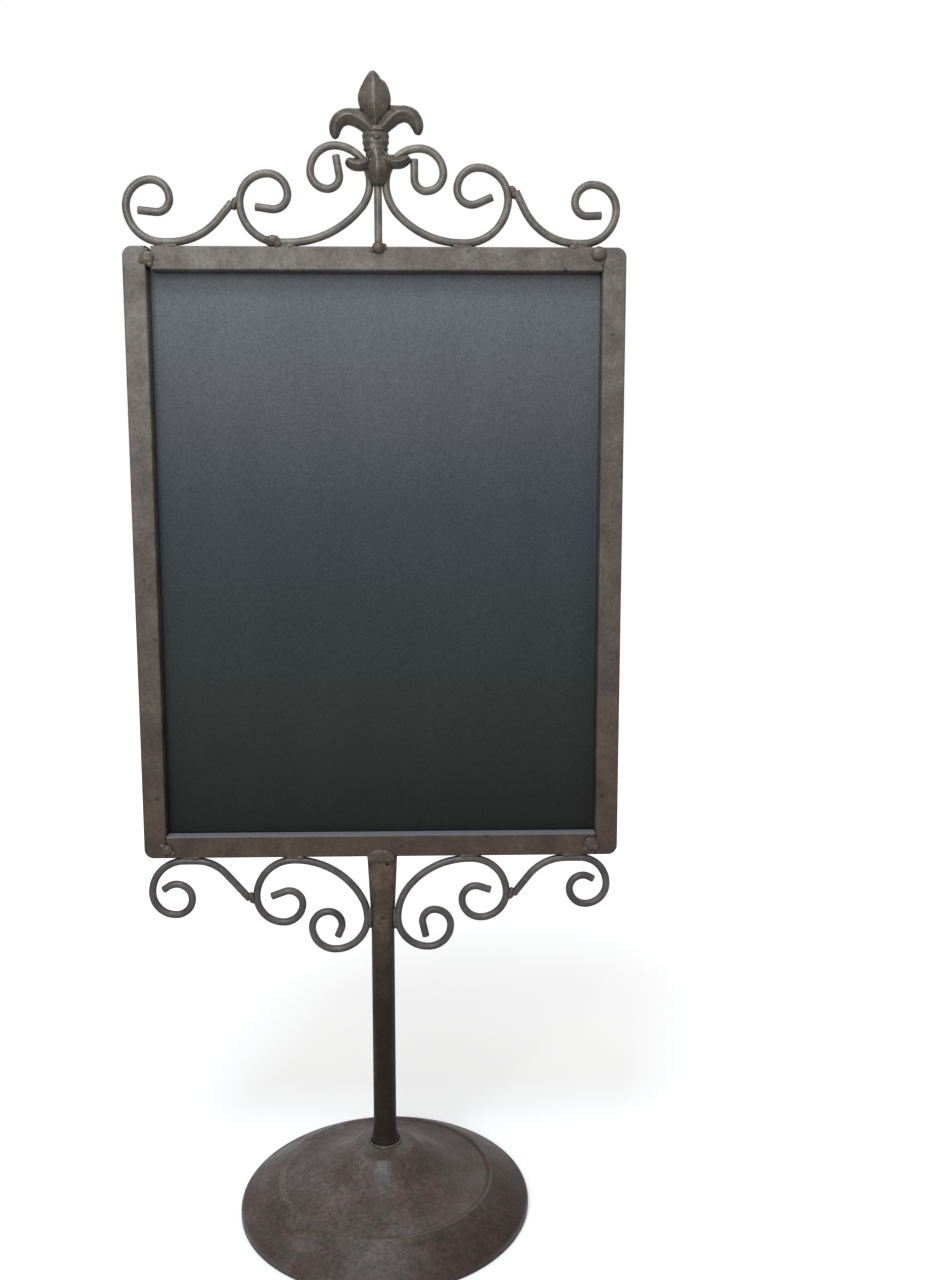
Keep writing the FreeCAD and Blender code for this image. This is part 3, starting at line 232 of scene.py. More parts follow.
# Painted shade where pieces meet: the shade in the corner, rising to 1 in the open.
def hollowShade(tree, shade, reach):
    nook = tree.nodes.new("ShaderNodeAmbientOcclusion")
    nook.samples = nookLook["samples"]
    nook.inputs["Distance"].default_value = reach
    return greyRange(tree, nook.outputs["AO"], *nookLook["range"], shade, 1)


# 0 at the low height and 1 at the high one.
def heightShare(tree, place, low, high):
    return greyRange(tree, heightOf(tree, place), low, high, 0, 1)


def newFinish(name):
    material = bpy.data.materials.new(name)
    material.use_nodes = True
    tree = material.node_tree
    shader = tree.nodes["Principled BSDF"]
    place = tree.nodes.new("ShaderNodeTexCoord").outputs["Object"]
    return material, tree, shader, place


def grainBump(tree, shader, place, scale, strength, distance):
    noise = tree.nodes.new("ShaderNodeTexNoise")
    noise.inputs["Scale"].default_value = scale
    noise.inputs["Detail"].default_value = bumpDetail
    wire(tree, place, noise.inputs["Vector"])
    bump = tree.nodes.new("ShaderNodeBump")
    bump.inputs["Strength"].default_value = strength
    bump.inputs["Distance"].default_value = distance
    wire(tree, noise.outputs["Fac"], bump.inputs["Height"])
    wire(tree, bump.outputs["Normal"], shader.inputs["Normal"])


# The mottle with its worn spots and stains.
def mottledColour(tree, place, look):
    patch = look["patch"]
    shades = zip(ageingAndShading["mottleStops"], (look["dark"], look["main"], look["light"]))
    mottle = noiseRamp(tree, place, patch, ageingAndShading["mottleDetail"], list(shades))
    pairs = zip(ageingAndShading["spotStops"], ageingAndShading["spotSpread"])
    edge = [stop - spread * look["rustShare"] for stop, spread in pairs]
    spots = noiseRamp(tree, place, patch * ageingAndShading["spotScale"], ageingAndShading["spotDetail"], greyStops(edge, 0, 1))
    colour = mixColour(tree, "MIX", spots, mottle, look["rust"])
    stains = noiseRamp(tree, place, patch * ageingAndShading["stainScale"], ageingAndShading["stainDetail"],
                       greyStops(ageingAndShading["stainStops"], 0, ageingAndShading["stainShare"]))
    return mixColour(tree, "MIX", stains, colour, look["fleck"])


# What only some of the paints have: painted shade in dents and painted highlights on ridges, chips, painted
# shade on the right side, joint lines, and a pale film that is partly dust and partly a painted highlight.
def wornAndShadedColour(tree, place, look, colour, shape, facing):
    # Painted shade in dents and a painted highlight on ridges.
    if "edges" in look:
        darker, lighter = look["edges"]
        ridges = greyRange(tree, shape.outputs["Pointiness"], *ageingAndShading["ridges"], 1 - darker, 1 + lighter)
        colour = multiply(tree, colour, ridges)
    if "pits" in look:
        pits = noiseRamp(tree, place, ageingAndShading["pitScale"], ageingAndShading["pitDetail"],
                         greyStops(ageingAndShading["pitStops"], 1, look["pits"]))
        colour = multiply(tree, colour, pits)
    # Painted shade on the right half.
    if "side" in look:
        shadedRightHalf = greyRange(tree, placeAlong(tree, place, "X"), *ageingAndShading["sideRange"], 0, 1)
        colour = multiply(tree, colour, look["side"], shadedRightHalf)
    if "joint" in look:
        colour = multiply(tree, colour, (look["joint"],) * 3, jointShare(tree, place))
    # A pale bluish film on what faces up, partly dust and partly a painted highlight.
    if "dust" in look:
        film = greyRange(tree, facing, *ageingAndShading["dustFacing"], 0, look["dust"])
        colour = mixColour(tree, "MIX", film, colour, ageingAndShading["dustColour"])
    return colour


def agedAndShadedPaint(name):
    look = finishes[name]
    material, tree, shader, place = newFinish(name)
    colour = mottledColour(tree, place, look)
    # Tint by height: painted shade low down and a painted sheen higher up, partly dust.
    tint = mixColour(tree, "MIX", heightShare(tree, place, *look["span"]), look["foot"], look["top"])
    colour = multiply(tree, colour, tint)
    for radius, width, shade in look.get("rings", ()):
        colour = multiply(tree, colour, shade, ringShare(tree, place, radius, width))
    speck = noiseRamp(tree, place, look["grain"], ageingAndShading["speckDetail"],
                      greyStops(ageingAndShading["speckStops"], 1 - look["speck"], 1 + look["speck"]))
    colour = multiply(tree, colour, speck)
    shape = tree.nodes.new("ShaderNodeNewGeometry")
    facing = heightOf(tree, shape.outputs["Normal"])
    # Painted shade on what faces down and a little painted light on what faces up.
    shade = greyRange(tree, facing, *ageingAndShading["facing"], look["under"], ageingAndShading["upShade"])
    colour = multiply(tree, colour, shade)
    colour = wornAndShadedColour(tree, place, look, colour, shape, facing)
    # Painted shade where pieces meet.
    colour = multiply(tree, colour, hollowShade(tree, look["hollow"], look["nook"]))
    wire(tree, colour, shader.inputs["Base Color"])
    low, high = look["rough"] - ageingAndShading["smoother"], look["rough"] + ageingAndShading["rougher"]
    rough = noiseRamp(tree, place, look["patch"] * ageingAndShading["roughScale"], ageingAndShading["roughDetail"],
                      greyStops(ageingAndShading["roughStops"], low, high))
    wire(tree, rough, shader.inputs["Roughness"])
    shader.inputs["Metallic"].default_value = 0.0
    shader.inputs["Specular IOR Level"].default_value = look["gloss"]
    grainBump(tree, shader, place, look["grain"], look["bump"], ageingAndShading["bumpDistance"])
    return material


# The board is a dark matt slate paint with a painted reflection that makes it paler and bluer towards its
# top, and faint wiped dust. Each shade is given with its share of the height.
boardLook = {
    "shades": ((0.05, (0.0110, 0.0125, 0.0110)), (0.23, (0.0180, 0.0225, 0.0200)),
               (0.41, (0.0255, 0.0300, 0.0325)), (0.59, (0.0360, 0.0440, 0.0490)),
               (0.77, (0.0665, 0.0700, 0.0745)), (0.95, (0.0940, 0.1020, 0.1110))),
    "span": (0.345, 0.810), "rough": 0.62, "gloss": 0.15, "nookShade": 0.12, "nook": 0.002,
    "wipe": (1.0, 1.0, 0.35), "dustScale": 14, "dustDetail": 5,
    "dust": ((0.3, (0.92, 0.92, 0.93)), (0.7, (1.08, 1.08, 1.07))),
    "speckScale": 700, "speckDetail": 2, "speck": ((0.3, (0.80, 0.80, 0.82)), (0.7, (1.20, 1.20, 1.18))),
    "grain": 1200, "bump": 0.08, "bumpDistance": 0.0002,
}


def boardFinish():
    material, tree, shader, place = newFinish("slatePaint")
    # Painted reflection: paler and bluer towards the top.
    shades = colourRamp(tree, heightShare(tree, place, *boardLook["span"]), boardLook["shades"])
    stretch = tree.nodes.new("ShaderNodeMapping")
    stretch.inputs["Scale"].default_value = boardLook["wipe"]
    wire(tree, place, stretch.inputs["Vector"])
    dust = noiseRamp(tree, stretch.outputs["Vector"], boardLook["dustScale"], boardLook["dustDetail"],
                     boardLook["dust"])
    speck = noiseRamp(tree, place, boardLook["speckScale"], boardLook["speckDetail"], boardLook["speck"])
    colour = multiply(tree, multiply(tree, shades, dust), speck)
    # Painted shade along the frame's edges.
    colour = multiply(tree, colour, hollowShade(tree, boardLook["nookShade"], boardLook["nook"]))
    wire(tree, colour, shader.inputs["Base Color"])
    shader.inputs["Roughness"].default_value = boardLook["rough"]
    shader.inputs["Specular IOR Level"].default_value = boardLook["gloss"]
    grainBump(tree, shader, place, boardLook["grain"], boardLook["bump"], boardLook["bumpDistance"])
    return material


# The unpainted pieces. Each stop is a place and how much paler or darker the colour is there.
plainLook = {"detail": 3, "stops": ((0.3, 0.85), (0.7, 1.12)), "bumpScale": 4, "bump": 0.15,
             "bumpDistance": 0.0002}
plainFinishes = {
    "zincSteel": {"colour": (0.45, 0.46, 0.47), "rough": 0.38, "metallic": 1.0, "grain": 160},
    "padRubber": {"colour": (0.022, 0.022, 0.023), "rough": 0.80, "metallic": 0.0, "grain": 120},
}


def plainFinish(name):
    look = plainFinishes[name]
    material, tree, shader, place = newFinish(name)
    stops = [(at, tuple(part * share for part in look["colour"])) for at, share in plainLook["stops"]]
    speck = noiseRamp(tree, place, look["grain"], plainLook["detail"], stops)
    wire(tree, speck, shader.inputs["Base Color"])
    shader.inputs["Roughness"].default_value = look["rough"]
    shader.inputs["Metallic"].default_value = look["metallic"]
    grainBump(tree, shader, place, look["grain"] * plainLook["bumpScale"], plainLook["bump"],
              plainLook["bumpDistance"])
    return material


finish = {name: agedAndShadedPaint(name) for name in finishes}
finish["slate"] = boardFinish()
for name in plainFinishes:
    finish[name] = plainFinish(name)

finishOfNode = {
    "left_stile": "framePaint", "right_stile": "framePaint", "stile_end_plugs": "framePaint",
    "top_rail": "framePaint", "bottom_rail": "framePaint", "chalkboard_panel": "slate",
    "board_clips": "zincSteel", "finial_stem": "rodPaint", "fleur_finial": "castPaint",
    "post_tube": "postPaint", "threaded_plug": "zincSteel", "base_shell": "basePaint",
    "ballast_disc": "castIron", "flat_washer": "zincSteel", "lock_washer": "zincSteel",
    "base_bolt": "zincSteel", "foot_pads": "padRubber",
}
for name, node in nodes.items():
    kind = finishOfNode.get(name) or ("rodPaint" if name.endswith("_scroll") else "weldPaint")
    node.data.materials.clear()
    node.data.materials.append(finish[kind])
print("finishes given to the carried-over nodes")


# Helpers for modelling.

mergeDistance = 0.005 * mm


def clearSelection():
    bpy.ops.object.select_all(action="DESELECT")


# Opens a piece's mesh, with all of it selected or none.
def openMesh(piece, action="SELECT"):
    clearSelection()
    piece.select_set(True)
    bpy.context.view_layer.objects.active = piece
    bpy.ops.object.mode_set(mode="EDIT")
    bpy.ops.mesh.select_all(action=action)


def closeMesh():
    bpy.ops.object.mode_set(mode="OBJECT")


# Puts the fresh primitive's place and turn into its mesh, and names it.
def settle(name):
    piece = bpy.context.object
    piece.name = piece.data.name = name
    bpy.ops.object.transform_apply(location=True, rotation=True, scale=True)
    return piece


def useModifier(piece, kind, **values):
    modifier = piece.modifiers.new(kind.title(), kind)
    for key, value in values.items():
        setattr(modifier, key, value)
    bpy.context.view_layer.objects.active = piece
    bpy.ops.object.modifier_apply(modifier=modifier.name)


# Moves the surface in and out a little, as hammered or cast metal is.
def unevenSkin(piece, size, depth):
    clouds = bpy.data.textures.new(f"{piece.name}Skin", "CLOUDS")
    clouds.noise_scale = size
    clouds.noise_depth = 1
    useModifier(piece, "DISPLACE", texture=clouds, strength=depth, mid_level=0.5, texture_coords="LOCAL")


# Clean normals, smooth shading, finish, body and the CAD nodes that the piece stands for. The slot is not
# used.
def done(piece, material, slot, *stoodFor):
    openMesh(piece)
    bpy.ops.mesh.remove_doubles(threshold=mergeDistance)
    bpy.ops.mesh.normals_make_consistent(inside=False)
    closeMesh()
    bpy.ops.object.shade_smooth()
    piece.data.materials.clear()
    piece.data.materials.append(finish[material])
    piece.select_set(False)
    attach(piece, "root")
    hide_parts(*stoodFor)


# Scrolls.

rod = {"radius": 3.175, "plane": -3.175, "sides": 20, "stepAngle": 5.0, "fewestSteps": 2, "endRound": 0.8,
       "endSegments": 3, "skinSize": 0.007, "skinDepth": 0.00022}

# The stand's own sizes that the rods follow, in millimetres.
seatGap = 0.05
stemOffset = 2.3
postRadius = 10
tailStandoff = 6.0
railEdge = {"Top": 830, "Bottom": 322}
levels = {"Top": railEdge["Top"] + rod["radius"], "Bottom": railEdge["Bottom"] - rod["radius"]}
innerContact = {"TopLeft": rod["radius"] * 2 + seatGap - stemOffset,
                "TopRight": rod["radius"] * 2 + seatGap + stemOffset,
                "BottomLeft": postRadius + rod["radius"] + seatGap,
                "BottomRight": postRadius + rod["radius"] + seatGap}
cornerNames = {"TopLeft": "top_left", "TopRight": "top_right", "BottomLeft": "bottom_left",
               "BottomRight": "bottom_right"}

# Millimetres and degrees. seat: where the rod leaves the rail, run: how far it lies on it, curl: the first
# quarter's radius, taper: the next one's share of it, turn: the whole turn, nib: the straight end, last: the
# last arc's radius where it isn't the taper's. The inner rods go on over a throat to a second curl, the eye.
# The outer ones end in a tail on the inner ones' side, lift above its widest place.
outerRods = {
    "TopLeft": {"seat": 165, "run": 6, "curl": 28, "taper": 0.72, "turn": 366, "nib": 14,
                "tail": 52, "lift": 0},
    "TopRight": {"seat": 163, "run": 5, "curl": 26.5, "taper": 0.73, "turn": 362, "nib": 11,
                 "tail": 48, "lift": 6},
    "BottomLeft": {"seat": 160, "run": 10, "curl": 28, "taper": 0.71, "turn": 394, "nib": 5,
                   "last": 13.2, "tail": 34, "lift": 2},
    "BottomRight": {"seat": 159, "run": 12, "curl": 23.5, "taper": 0.77, "turn": 388, "nib": 4.5,
                    "last": 11.6, "tail": 41, "lift": 2},
}
innerRods = {
    "TopLeft": {"seat": 70, "run": 7.5, "curl": 31, "taper": 0.72, "turn": 368, "nib": 13,
                "rise": 47, "throat": 31, "eye": 28, "eyeTaper": 0.7, "eyeTurn": 370, "eyeNib": 15},
    "TopRight": {"seat": 69.5, "run": 3, "curl": 34.5, "taper": 0.7, "turn": 383, "nib": 13,
                 "rise": 46, "throat": 35, "eye": 27, "eyeTaper": 0.71, "eyeTurn": 360, "eyeNib": 15},
    "BottomLeft": {"seat": 75.5, "run": 0.5, "curl": 32.5, "taper": 0.71, "turn": 380, "nib": 12,
                   "rise": 52.5, "throat": 38, "eye": 28, "eyeTaper": 0.71, "eyeTurn": 384, "eyeNib": 7,
                   "eyeLast": 11.6},
    "BottomRight": {"seat": 74.5, "run": 2.5, "curl": 30.5, "taper": 0.73, "turn": 378, "nib": 10,
                    "rise": 52.5, "throat": 45, "eye": 26.5, "eyeTaper": 0.73, "eyeTurn": 373, "eyeNib": 12},
}


# 1 or -1 for right or left, and for above or below the frame.
def directions(corner):
    return (1 if corner.endswith("Right") else -1), (1 if corner.startswith("Top") else -1)


# Moves of a scroll's end: quarters that tighten, a last arc and the straight nib.
def coil(curl, taper, turn, nib, spin, last=None):
    moves = [("bend", curl * taper ** quarter, 90 * spin) for quarter in range(3)]
    moves.append(("bend", last or curl * taper ** 3, (turn - 270) * spin))
    moves.append(("line", nib, 0))
    return moves


# Where one move ends, the heading there and, for a bend, its middle.
def oneMove(place, heading, move):
    (x, z), (kind, size, turn) = place, move
    angle = math.radians(heading)
    if kind == "line":
        return (x + size * math.cos(angle), z + size * math.sin(angle)), heading, None
    spin = math.copysign(1, turn)
    hub = (x - size * spin * math.sin(angle), z + size * spin * math.cos(angle))
    heading += turn
    angle = math.radians(heading)
    return (hub[0] + size * spin * math.sin(angle), hub[1] - size * spin * math.cos(angle)), heading, hub


# Where a run of moves ends, and its heading there.
def walk(place, heading, moves):
    for move in moves:
        place, heading, hub = oneMove(place, heading, move)
    return place, heading


def backwards(moves):
    return [(kind, size, -turn) for kind, size, turn in reversed(moves)]


# One rod, extruded along its straights and spun round its bends, from a ring at its first end.
def bendRod(name, place, heading, moves):
    clearSelection()
    plane = rod["plane"] * mm
    tilt = math.pi / 2 - math.radians(heading)
    bpy.ops.mesh.primitive_circle_add(vertices=rod["sides"], radius=rod["radius"] * mm, fill_type="NGON",
                                      location=(place[0] * mm, plane, place[1] * mm), rotation=(0, tilt, 0))
    piece = settle(name)
    openMesh(piece)
    for move in moves:
        kind, size, turn = move
        angle = math.radians(heading)
        place, heading, hub = oneMove(place, heading, move)
        if kind == "line":
            step = (size * mm * math.cos(angle), 0, size * mm * math.sin(angle))
            bpy.ops.mesh.extrude_region_move(TRANSFORM_OT_translate={"value": step})
        else:
            steps = max(rod["fewestSteps"], round(abs(turn) / rod["stepAngle"]))
            bpy.ops.mesh.spin(steps=steps, angle=math.radians(abs(turn)),
                              center=(hub[0] * mm, plane, hub[1] * mm), axis=(0, math.copysign(1, turn), 0))
    closeMesh()
    return piece


# Breaks the sharp rim of the rod's two cut ends, the only faces with more than four corners.
def roundEnds(piece):
    openMesh(piece, "DESELECT")
    closeMesh()
    for face in piece.data.polygons:
        face.select = len(face.vertices) > 4
    bpy.ops.object.mode_set(mode="EDIT")
    bpy.ops.mesh.bevel(offset=rod["endRound"] * mm, segments=rod["endSegments"], affect="EDGES")
    closeMesh()


# The moves of an inner rod from its seat: outward to its curl, and inward over the throat to its eye.
def innerMoves(corner):
    plan = innerRods[corner]
    side, up = directions(corner)
    outward = [("line", plan["run"], 0)]
    outward += coil(plan["curl"], plan["taper"], plan["turn"], plan["nib"], side * up)
    across, rise, throat = plan["seat"] - innerContact[corner], plan["rise"], plan["throat"]
    sweep = (across ** 2 + rise ** 2 - 2 * across * throat) / (2 * (rise - throat))
    turn = math.degrees(math.atan2(across - throat, sweep - rise))
    spin = -side * up
    inward = [("bend", sweep, turn * spin), ("bend", throat, (90 - turn) * spin)]
    inward += coil(plan["eye"], plan["eyeTaper"], plan["eyeTurn"], plan["eyeNib"], spin, plan.get("eyeLast"))
    return outward, inward


# The moves of an outer rod from its seat: outward to its curl, and inward to its tail's end.
def outerMoves(corner):
    plan, inner = outerRods[corner], innerRods[corner]
    side, up = directions(corner)
    outward = [("line", plan["run"], 0)]
    outward += coil(plan["curl"], plan["taper"], plan["turn"], plan["nib"], side * up, plan.get("last"))
    across = plan["seat"] - inner["seat"] - inner["run"] - inner["curl"] - tailStandoff
    rise, radius = inner["curl"] + plan["lift"], plan["tail"]
    span = math.hypot(across, radius - rise)
    turn = math.degrees(math.atan2(across, radius - rise) - math.acos(radius / span))
    inward = [("bend", radius, -turn * side * up), ("line", math.sqrt(span ** 2 - radius ** 2), 0)]
    return outward, inward


for corner, cornerName in cornerNames.items():
    side, up = directions(corner)
    level = levels["Top" if up > 0 else "Bottom"]
    for ring, rods, movesOf in (("Inner", innerRods, innerMoves), ("Outer", outerRods, outerMoves)):
        outward, inward = movesOf(corner)
        end, heading = walk((rods[corner]["seat"] * side, level), 0 if side > 0 else 180, outward)
        label = corner[0].lower() + corner[1:] + ring + "Rod"
        piece = bendRod(label, end, heading + 180, backwards(outward) + inward)
        roundEnds(piece)
        unevenSkin(piece, rod["skinSize"], rod["skinDepth"])
        done(piece, "rodPaint", "scroll_wire", f"{cornerName}_{ring.lower()}_scroll")
print("scrolls bent")


# Fleur-de-lis.

finial = {"back": -4.85, "sides": 16, "frontShare": 0.01, "levels": 2, "voxel": 0.4, "smooth": 2,
          "skinSize": 0.005, "skinDepth": 0.0004}

# Rings of each limb in millimetres: across, height, half width, half depth. ridge lifts the front's middle.
limbs = {
    "bud": {"ridge": 0.34, "upright": True, "rings": [
        (1.2, 921.0, 3.0, 5.0), (1.2, 926.0, 4.4, 5.6), (1.0, 929.8, 8.4, 6.6), (0.9, 933.6, 11.2, 7.4),
        (0.5, 938.4, 13.2, 8.0), (0.2, 943.6, 13.7, 8.2), (0.2, 949.0, 12.6, 7.8), (0.4, 953.2, 10.8, 7.0),
        (0.5, 956.2, 8.9, 6.3), (-0.6, 957.6, 7.0, 5.8), (-0.6, 960.0, 5.4, 4.8), (-0.8, 962.6, 3.6, 3.4),
        (-0.9, 964.4, 1.8, 1.9)]},
    "leftHorn": {"ridge": 0.30, "rings": [
        (1.0, 916.0, 4.6, 6.4), (-4.8, 921.6, 5.8, 6.8), (-11.4, 927.2, 6.9, 7.0), (-19.8, 930.4, 7.2, 7.0),
        (-27.6, 927.8, 6.9, 6.6), (-31.6, 921.4, 5.8, 5.8), (-31.2, 915.4, 3.9, 4.6),
        (-30.3, 912.4, 2.0, 3.0)]},
    "rightHorn": {"ridge": 0.30, "rings": [
        (3.0, 916.0, 4.6, 6.4), (8.6, 922.8, 5.8, 6.8), (14.8, 929.2, 6.9, 7.0), (22.6, 932.8, 7.2, 7.0),
        (30.6, 930.4, 6.9, 6.6), (34.6, 924.0, 5.8, 5.8), (34.8, 918.2, 3.9, 4.6), (34.0, 915.6, 2.0, 3.0)]},
    "collar": {"ridge": 0.0, "upright": True, "rings": [
        (1.2, 902.0, 9.0, 7.0), (1.0, 904.6, 10.6, 8.2), (1.0, 907.2, 9.4, 7.0), (1.0, 909.8, 11.4, 8.2),
        (1.0, 912.2, 10.2, 7.0), (1.0, 914.6, 11.6, 8.4), (1.0, 917.2, 10.4, 7.6), (1.2, 920.0, 8.6, 7.4),
        (1.4, 922.5, 6.0, 6.6)]},
    "drop": {"ridge": 0.24, "upright": True, "rings": [
        (2.6, 876.2, 3.2, 3.6), (2.7, 878.6, 6.2, 6.4), (2.8, 882.5, 8.8, 8.2), (2.8, 888.0, 10.0, 9.3),
        (2.7, 893.5, 9.8, 9.0), (2.2, 898.5, 9.4, 8.0), (1.6, 902.0, 9.2, 7.0), (1.4, 905.0, 8.8, 6.4)]},
    "leftLeaf": {"ridge": 0.26, "rings": [
        (0.5, 896.5, 5.2, 6.6), (-5.5, 894.6, 5.2, 6.4), (-11.0, 892.2, 4.8, 6.2), (-16.0, 892.2, 4.7, 6.0),
        (-20.2, 894.6, 4.3, 5.4), (-22.4, 897.2, 3.0, 4.0)]},
    "rightLeaf": {"ridge": 0.26, "rings": [
        (4.5, 898.2, 5.2, 6.6), (10.5, 896.2, 5.2, 6.4), (16.0, 893.8, 4.8, 6.2), (21.0, 894.2, 4.7, 6.0),
        (25.4, 896.8, 4.4, 5.4), (27.8, 899.6, 3.2, 4.0)]},
    "leftVein": {"ridge": 0.0, "rings": [
        (0.6, 905.5, 1.1, 8.0), (-3.4, 900.5, 1.3, 8.6), (-5.6, 895.0, 1.4, 8.2), (-6.4, 889.0, 1.2, 7.2)]},
    "rightVein": {"ridge": 0.0, "rings": [
        (4.2, 905.5, 1.1, 8.0), (8.4, 900.8, 1.3, 8.6), (10.8, 895.4, 1.4, 8.2), (11.8, 889.2, 1.2, 7.2)]},
    "nub": {"ridge": 0.0, "rings": [(-0.4, 912.0, 1.3, 8.6), (0.6, 912.0, 2.4, 9.6), (2.1, 912.1, 2.9, 10.2),
                                    (3.6, 912.1, 2.4, 9.6), (4.7, 912.1, 1.3, 8.6)]},
    "band": {"ridge": 0.0, "rings": [(-4.8, 917.9, 1.2, 8.0), (-2.0, 918.1, 1.5, 8.9), (2.0, 918.2, 1.6, 9.2),
                                     (6.0, 918.3, 1.5, 8.9), (8.8, 918.2, 1.2, 8.0)]},
}


# A limb grown ring by ring: each ring is extruded on, turned and sized. Its back half is cut off later.
def growLimb(name, plan):
    rings, back = plan["rings"], finial["back"] * mm
    headings = []
    for index in range(len(rings)):
        before, after = rings[max(index - 1, 0)], rings[min(index + 1, len(rings) - 1)]
        upright = plan.get("upright", False)
        headings.append(math.pi / 2 if upright else math.atan2(after[1] - before[1], after[0] - before[0]))
    x, z, wide, deep = rings[0]
    clearSelection()
    bpy.ops.mesh.primitive_circle_add(vertices=finial["sides"], radius=wide * mm, fill_type="NGON",
                                      location=(x * mm, back, z * mm),
                                      rotation=(0, math.pi / 2 - headings[0], 0))
    piece = settle(name)
    front = min(vertex.co.y for vertex in piece.data.vertices)
    openMesh(piece, "DESELECT")
    closeMesh()
    for vertex in piece.data.vertices:
        vertex.select = vertex.co.y < front + finial["frontShare"] * wide * mm
    bpy.ops.object.mode_set(mode="EDIT")
    bpy.ops.transform.translate(value=(0, -plan["ridge"] * wide * mm, 0))
    bpy.ops.mesh.select_all(action="SELECT")
    bpy.ops.transform.resize(value=(1, deep / wide, 1), center_override=(x * mm, back, z * mm))
    for index in range(1, len(rings)):
        nextX, nextZ, nextWide, nextDeep = rings[index]
        step = ((nextX - x) * mm, 0, (nextZ - z) * mm)
        centre = (nextX * mm, back, nextZ * mm)
        bpy.ops.mesh.extrude_region_move(TRANSFORM_OT_translate={"value": step})
        turn = math.remainder(headings[index] - headings[index - 1], math.tau)
        bpy.ops.transform.rotate(value=turn, orient_axis="Y", center_override=centre)
        share = nextWide / wide
        bpy.ops.transform.resize(value=(share, nextDeep / deep, share), center_override=centre)
        x, z, wide, deep = nextX, nextZ, nextWide, nextDeep
    closeMesh()
    useModifier(piece, "SUBSURF", levels=finial["levels"], render_levels=finial["levels"])
    return piece


def joinPieces(pieces, name):
    clearSelection()
    for piece in pieces:
        piece.select_set(True)
    bpy.context.view_layer.objects.active = pieces[0]
    bpy.ops.object.join()
    pieces[0].name = pieces[0].data.name = name
    return pieces[0]


# Runs overlapping lumps into one closed skin with soft hollows between them.
def meltTogether(piece, voxel, rounds):
    useModifier(piece, "REMESH", mode="VOXEL", voxel_size=voxel * mm)
    useModifier(piece, "SMOOTH", factor=0.5, iterations=rounds)


# Cuts off what lies behind a plane and closes the cut.
def flatBack(piece, plane):
    openMesh(piece)
    bpy.ops.mesh.bisect(plane_co=(0, plane, 0), plane_no=(0, 1, 0), use_fill=True, clear_outer=True)
    closeMesh()


casting = joinPieces([growLimb(limb, plan) for limb, plan in limbs.items()], "fleurCasting")
meltTogether(casting, finial["voxel"], finial["smooth"])
unevenSkin(casting, finial["skinSize"], finial["skinDepth"])
flatBack(casting, finial["back"] * mm)
done(casting, "castPaint", "casting", "fleur_finial")
print("fleur-de-lis cast")


# Weld beads.

weldLook = {"segments": 20, "rings": 12, "voxel": 0.5, "smooth": 2, "skinSize": 0.0028, "skinDepth": 0.0007}

# Lumps in millimetres: place, then radii across, deep and high, then the lean in degrees.
welds = {
    "cornerBeads": {"nodes": ["corner_welds"], "lumps": [
        (-183.2, -6.5, 820.6, 6.3, 2.1, 5.6, 0), (-187.4, -6.4, 818.6, 2.8, 1.4, 3.2, 0),
        (-181.0, -6.5, 815.2, 2.6, 1.9, 2.3, 0), (-184.6, -1.2, 827.0, 3.4, 5.2, 2.9, 0),
        (180.7, -6.9, 824.6, 6.3, 3.3, 6.0, 0), (183.9, -6.4, 817.6, 1.3, 1.0, 3.0, 0),
        (-183.6, -6.9, 330.2, 4.9, 3.2, 4.8, 0), (-179.6, -6.5, 326.8, 3.6, 1.5, 2.3, 0),
        (-187.6, -6.5, 333.4, 2.6, 1.2, 1.9, 0),
        (180.4, -6.8, 332.6, 6.3, 2.6, 5.8, 0), (184.2, -6.8, 329.8, 3.4, 2.4, 4.0, 0),
        (176.4, -6.5, 327.4, 3.8, 1.5, 2.6, 0)]},
    "stemBead": {"nodes": ["stem_weld"], "lumps": [
        (2.3, -6.0, 829.0, 5.1, 4.4, 5.1, 0), (7.2, -5.6, 828.4, 2.6, 2.2, 2.4, 20),
        (6.6, -3.2, 831.0, 2.6, 2.8, 2.0, 0), (-2.6, -6.3, 826.8, 2.0, 1.5, 1.6, 0),
        (2.0, -1.6, 830.6, 4.6, 4.6, 1.8, 0)]},
    "postTopBeads": {"nodes": ["post_top_welds"], "lumps": [
        (-1.0, -6.5, 322.5, 12.0, 1.7, 6.2, 0), (5.2, -6.6, 321.0, 6.0, 1.6, 4.6, -15),
        (0.0, 6.5, 322.0, 12.2, 1.6, 6.0, 0)]},
    "postSideBeads": {"nodes": ["post_side_welds"], "lumps": [
        (-10.6, -4.0, 266.0, 2.4, 2.4, 9.0, 0), (-10.9, -4.2, 272.0, 2.4, 2.2, 4.0, 0),
        (10.6, -4.0, 266.0, 2.4, 2.4, 9.0, 0), (10.9, -4.2, 260.5, 2.4, 2.2, 4.0, 0)]},
}

# A long low bead under each scroll, with a swell towards one end, and the big lump on the first one.
seatBead = {"plane": -3.2, "size": (10.5, 3.2, 2.3),
            "swellPlane": -4.4, "swellSize": (4.6, 2.4, 2.5), "aside": 5,
            "bigLump": [(-83.0, -5.6, 834.2, 6.6, 3.6, 4.4, -8), (-79.0, -6.0, 831.8, 3.6, 2.4, 2.8, 0)]}


def railSeat(corner, rods):
    plan = rods[corner]
    side, up = directions(corner)
    return side * (plan["seat"] + plan["run"] / 2), railEdge["Top" if up > 0 else "Bottom"]


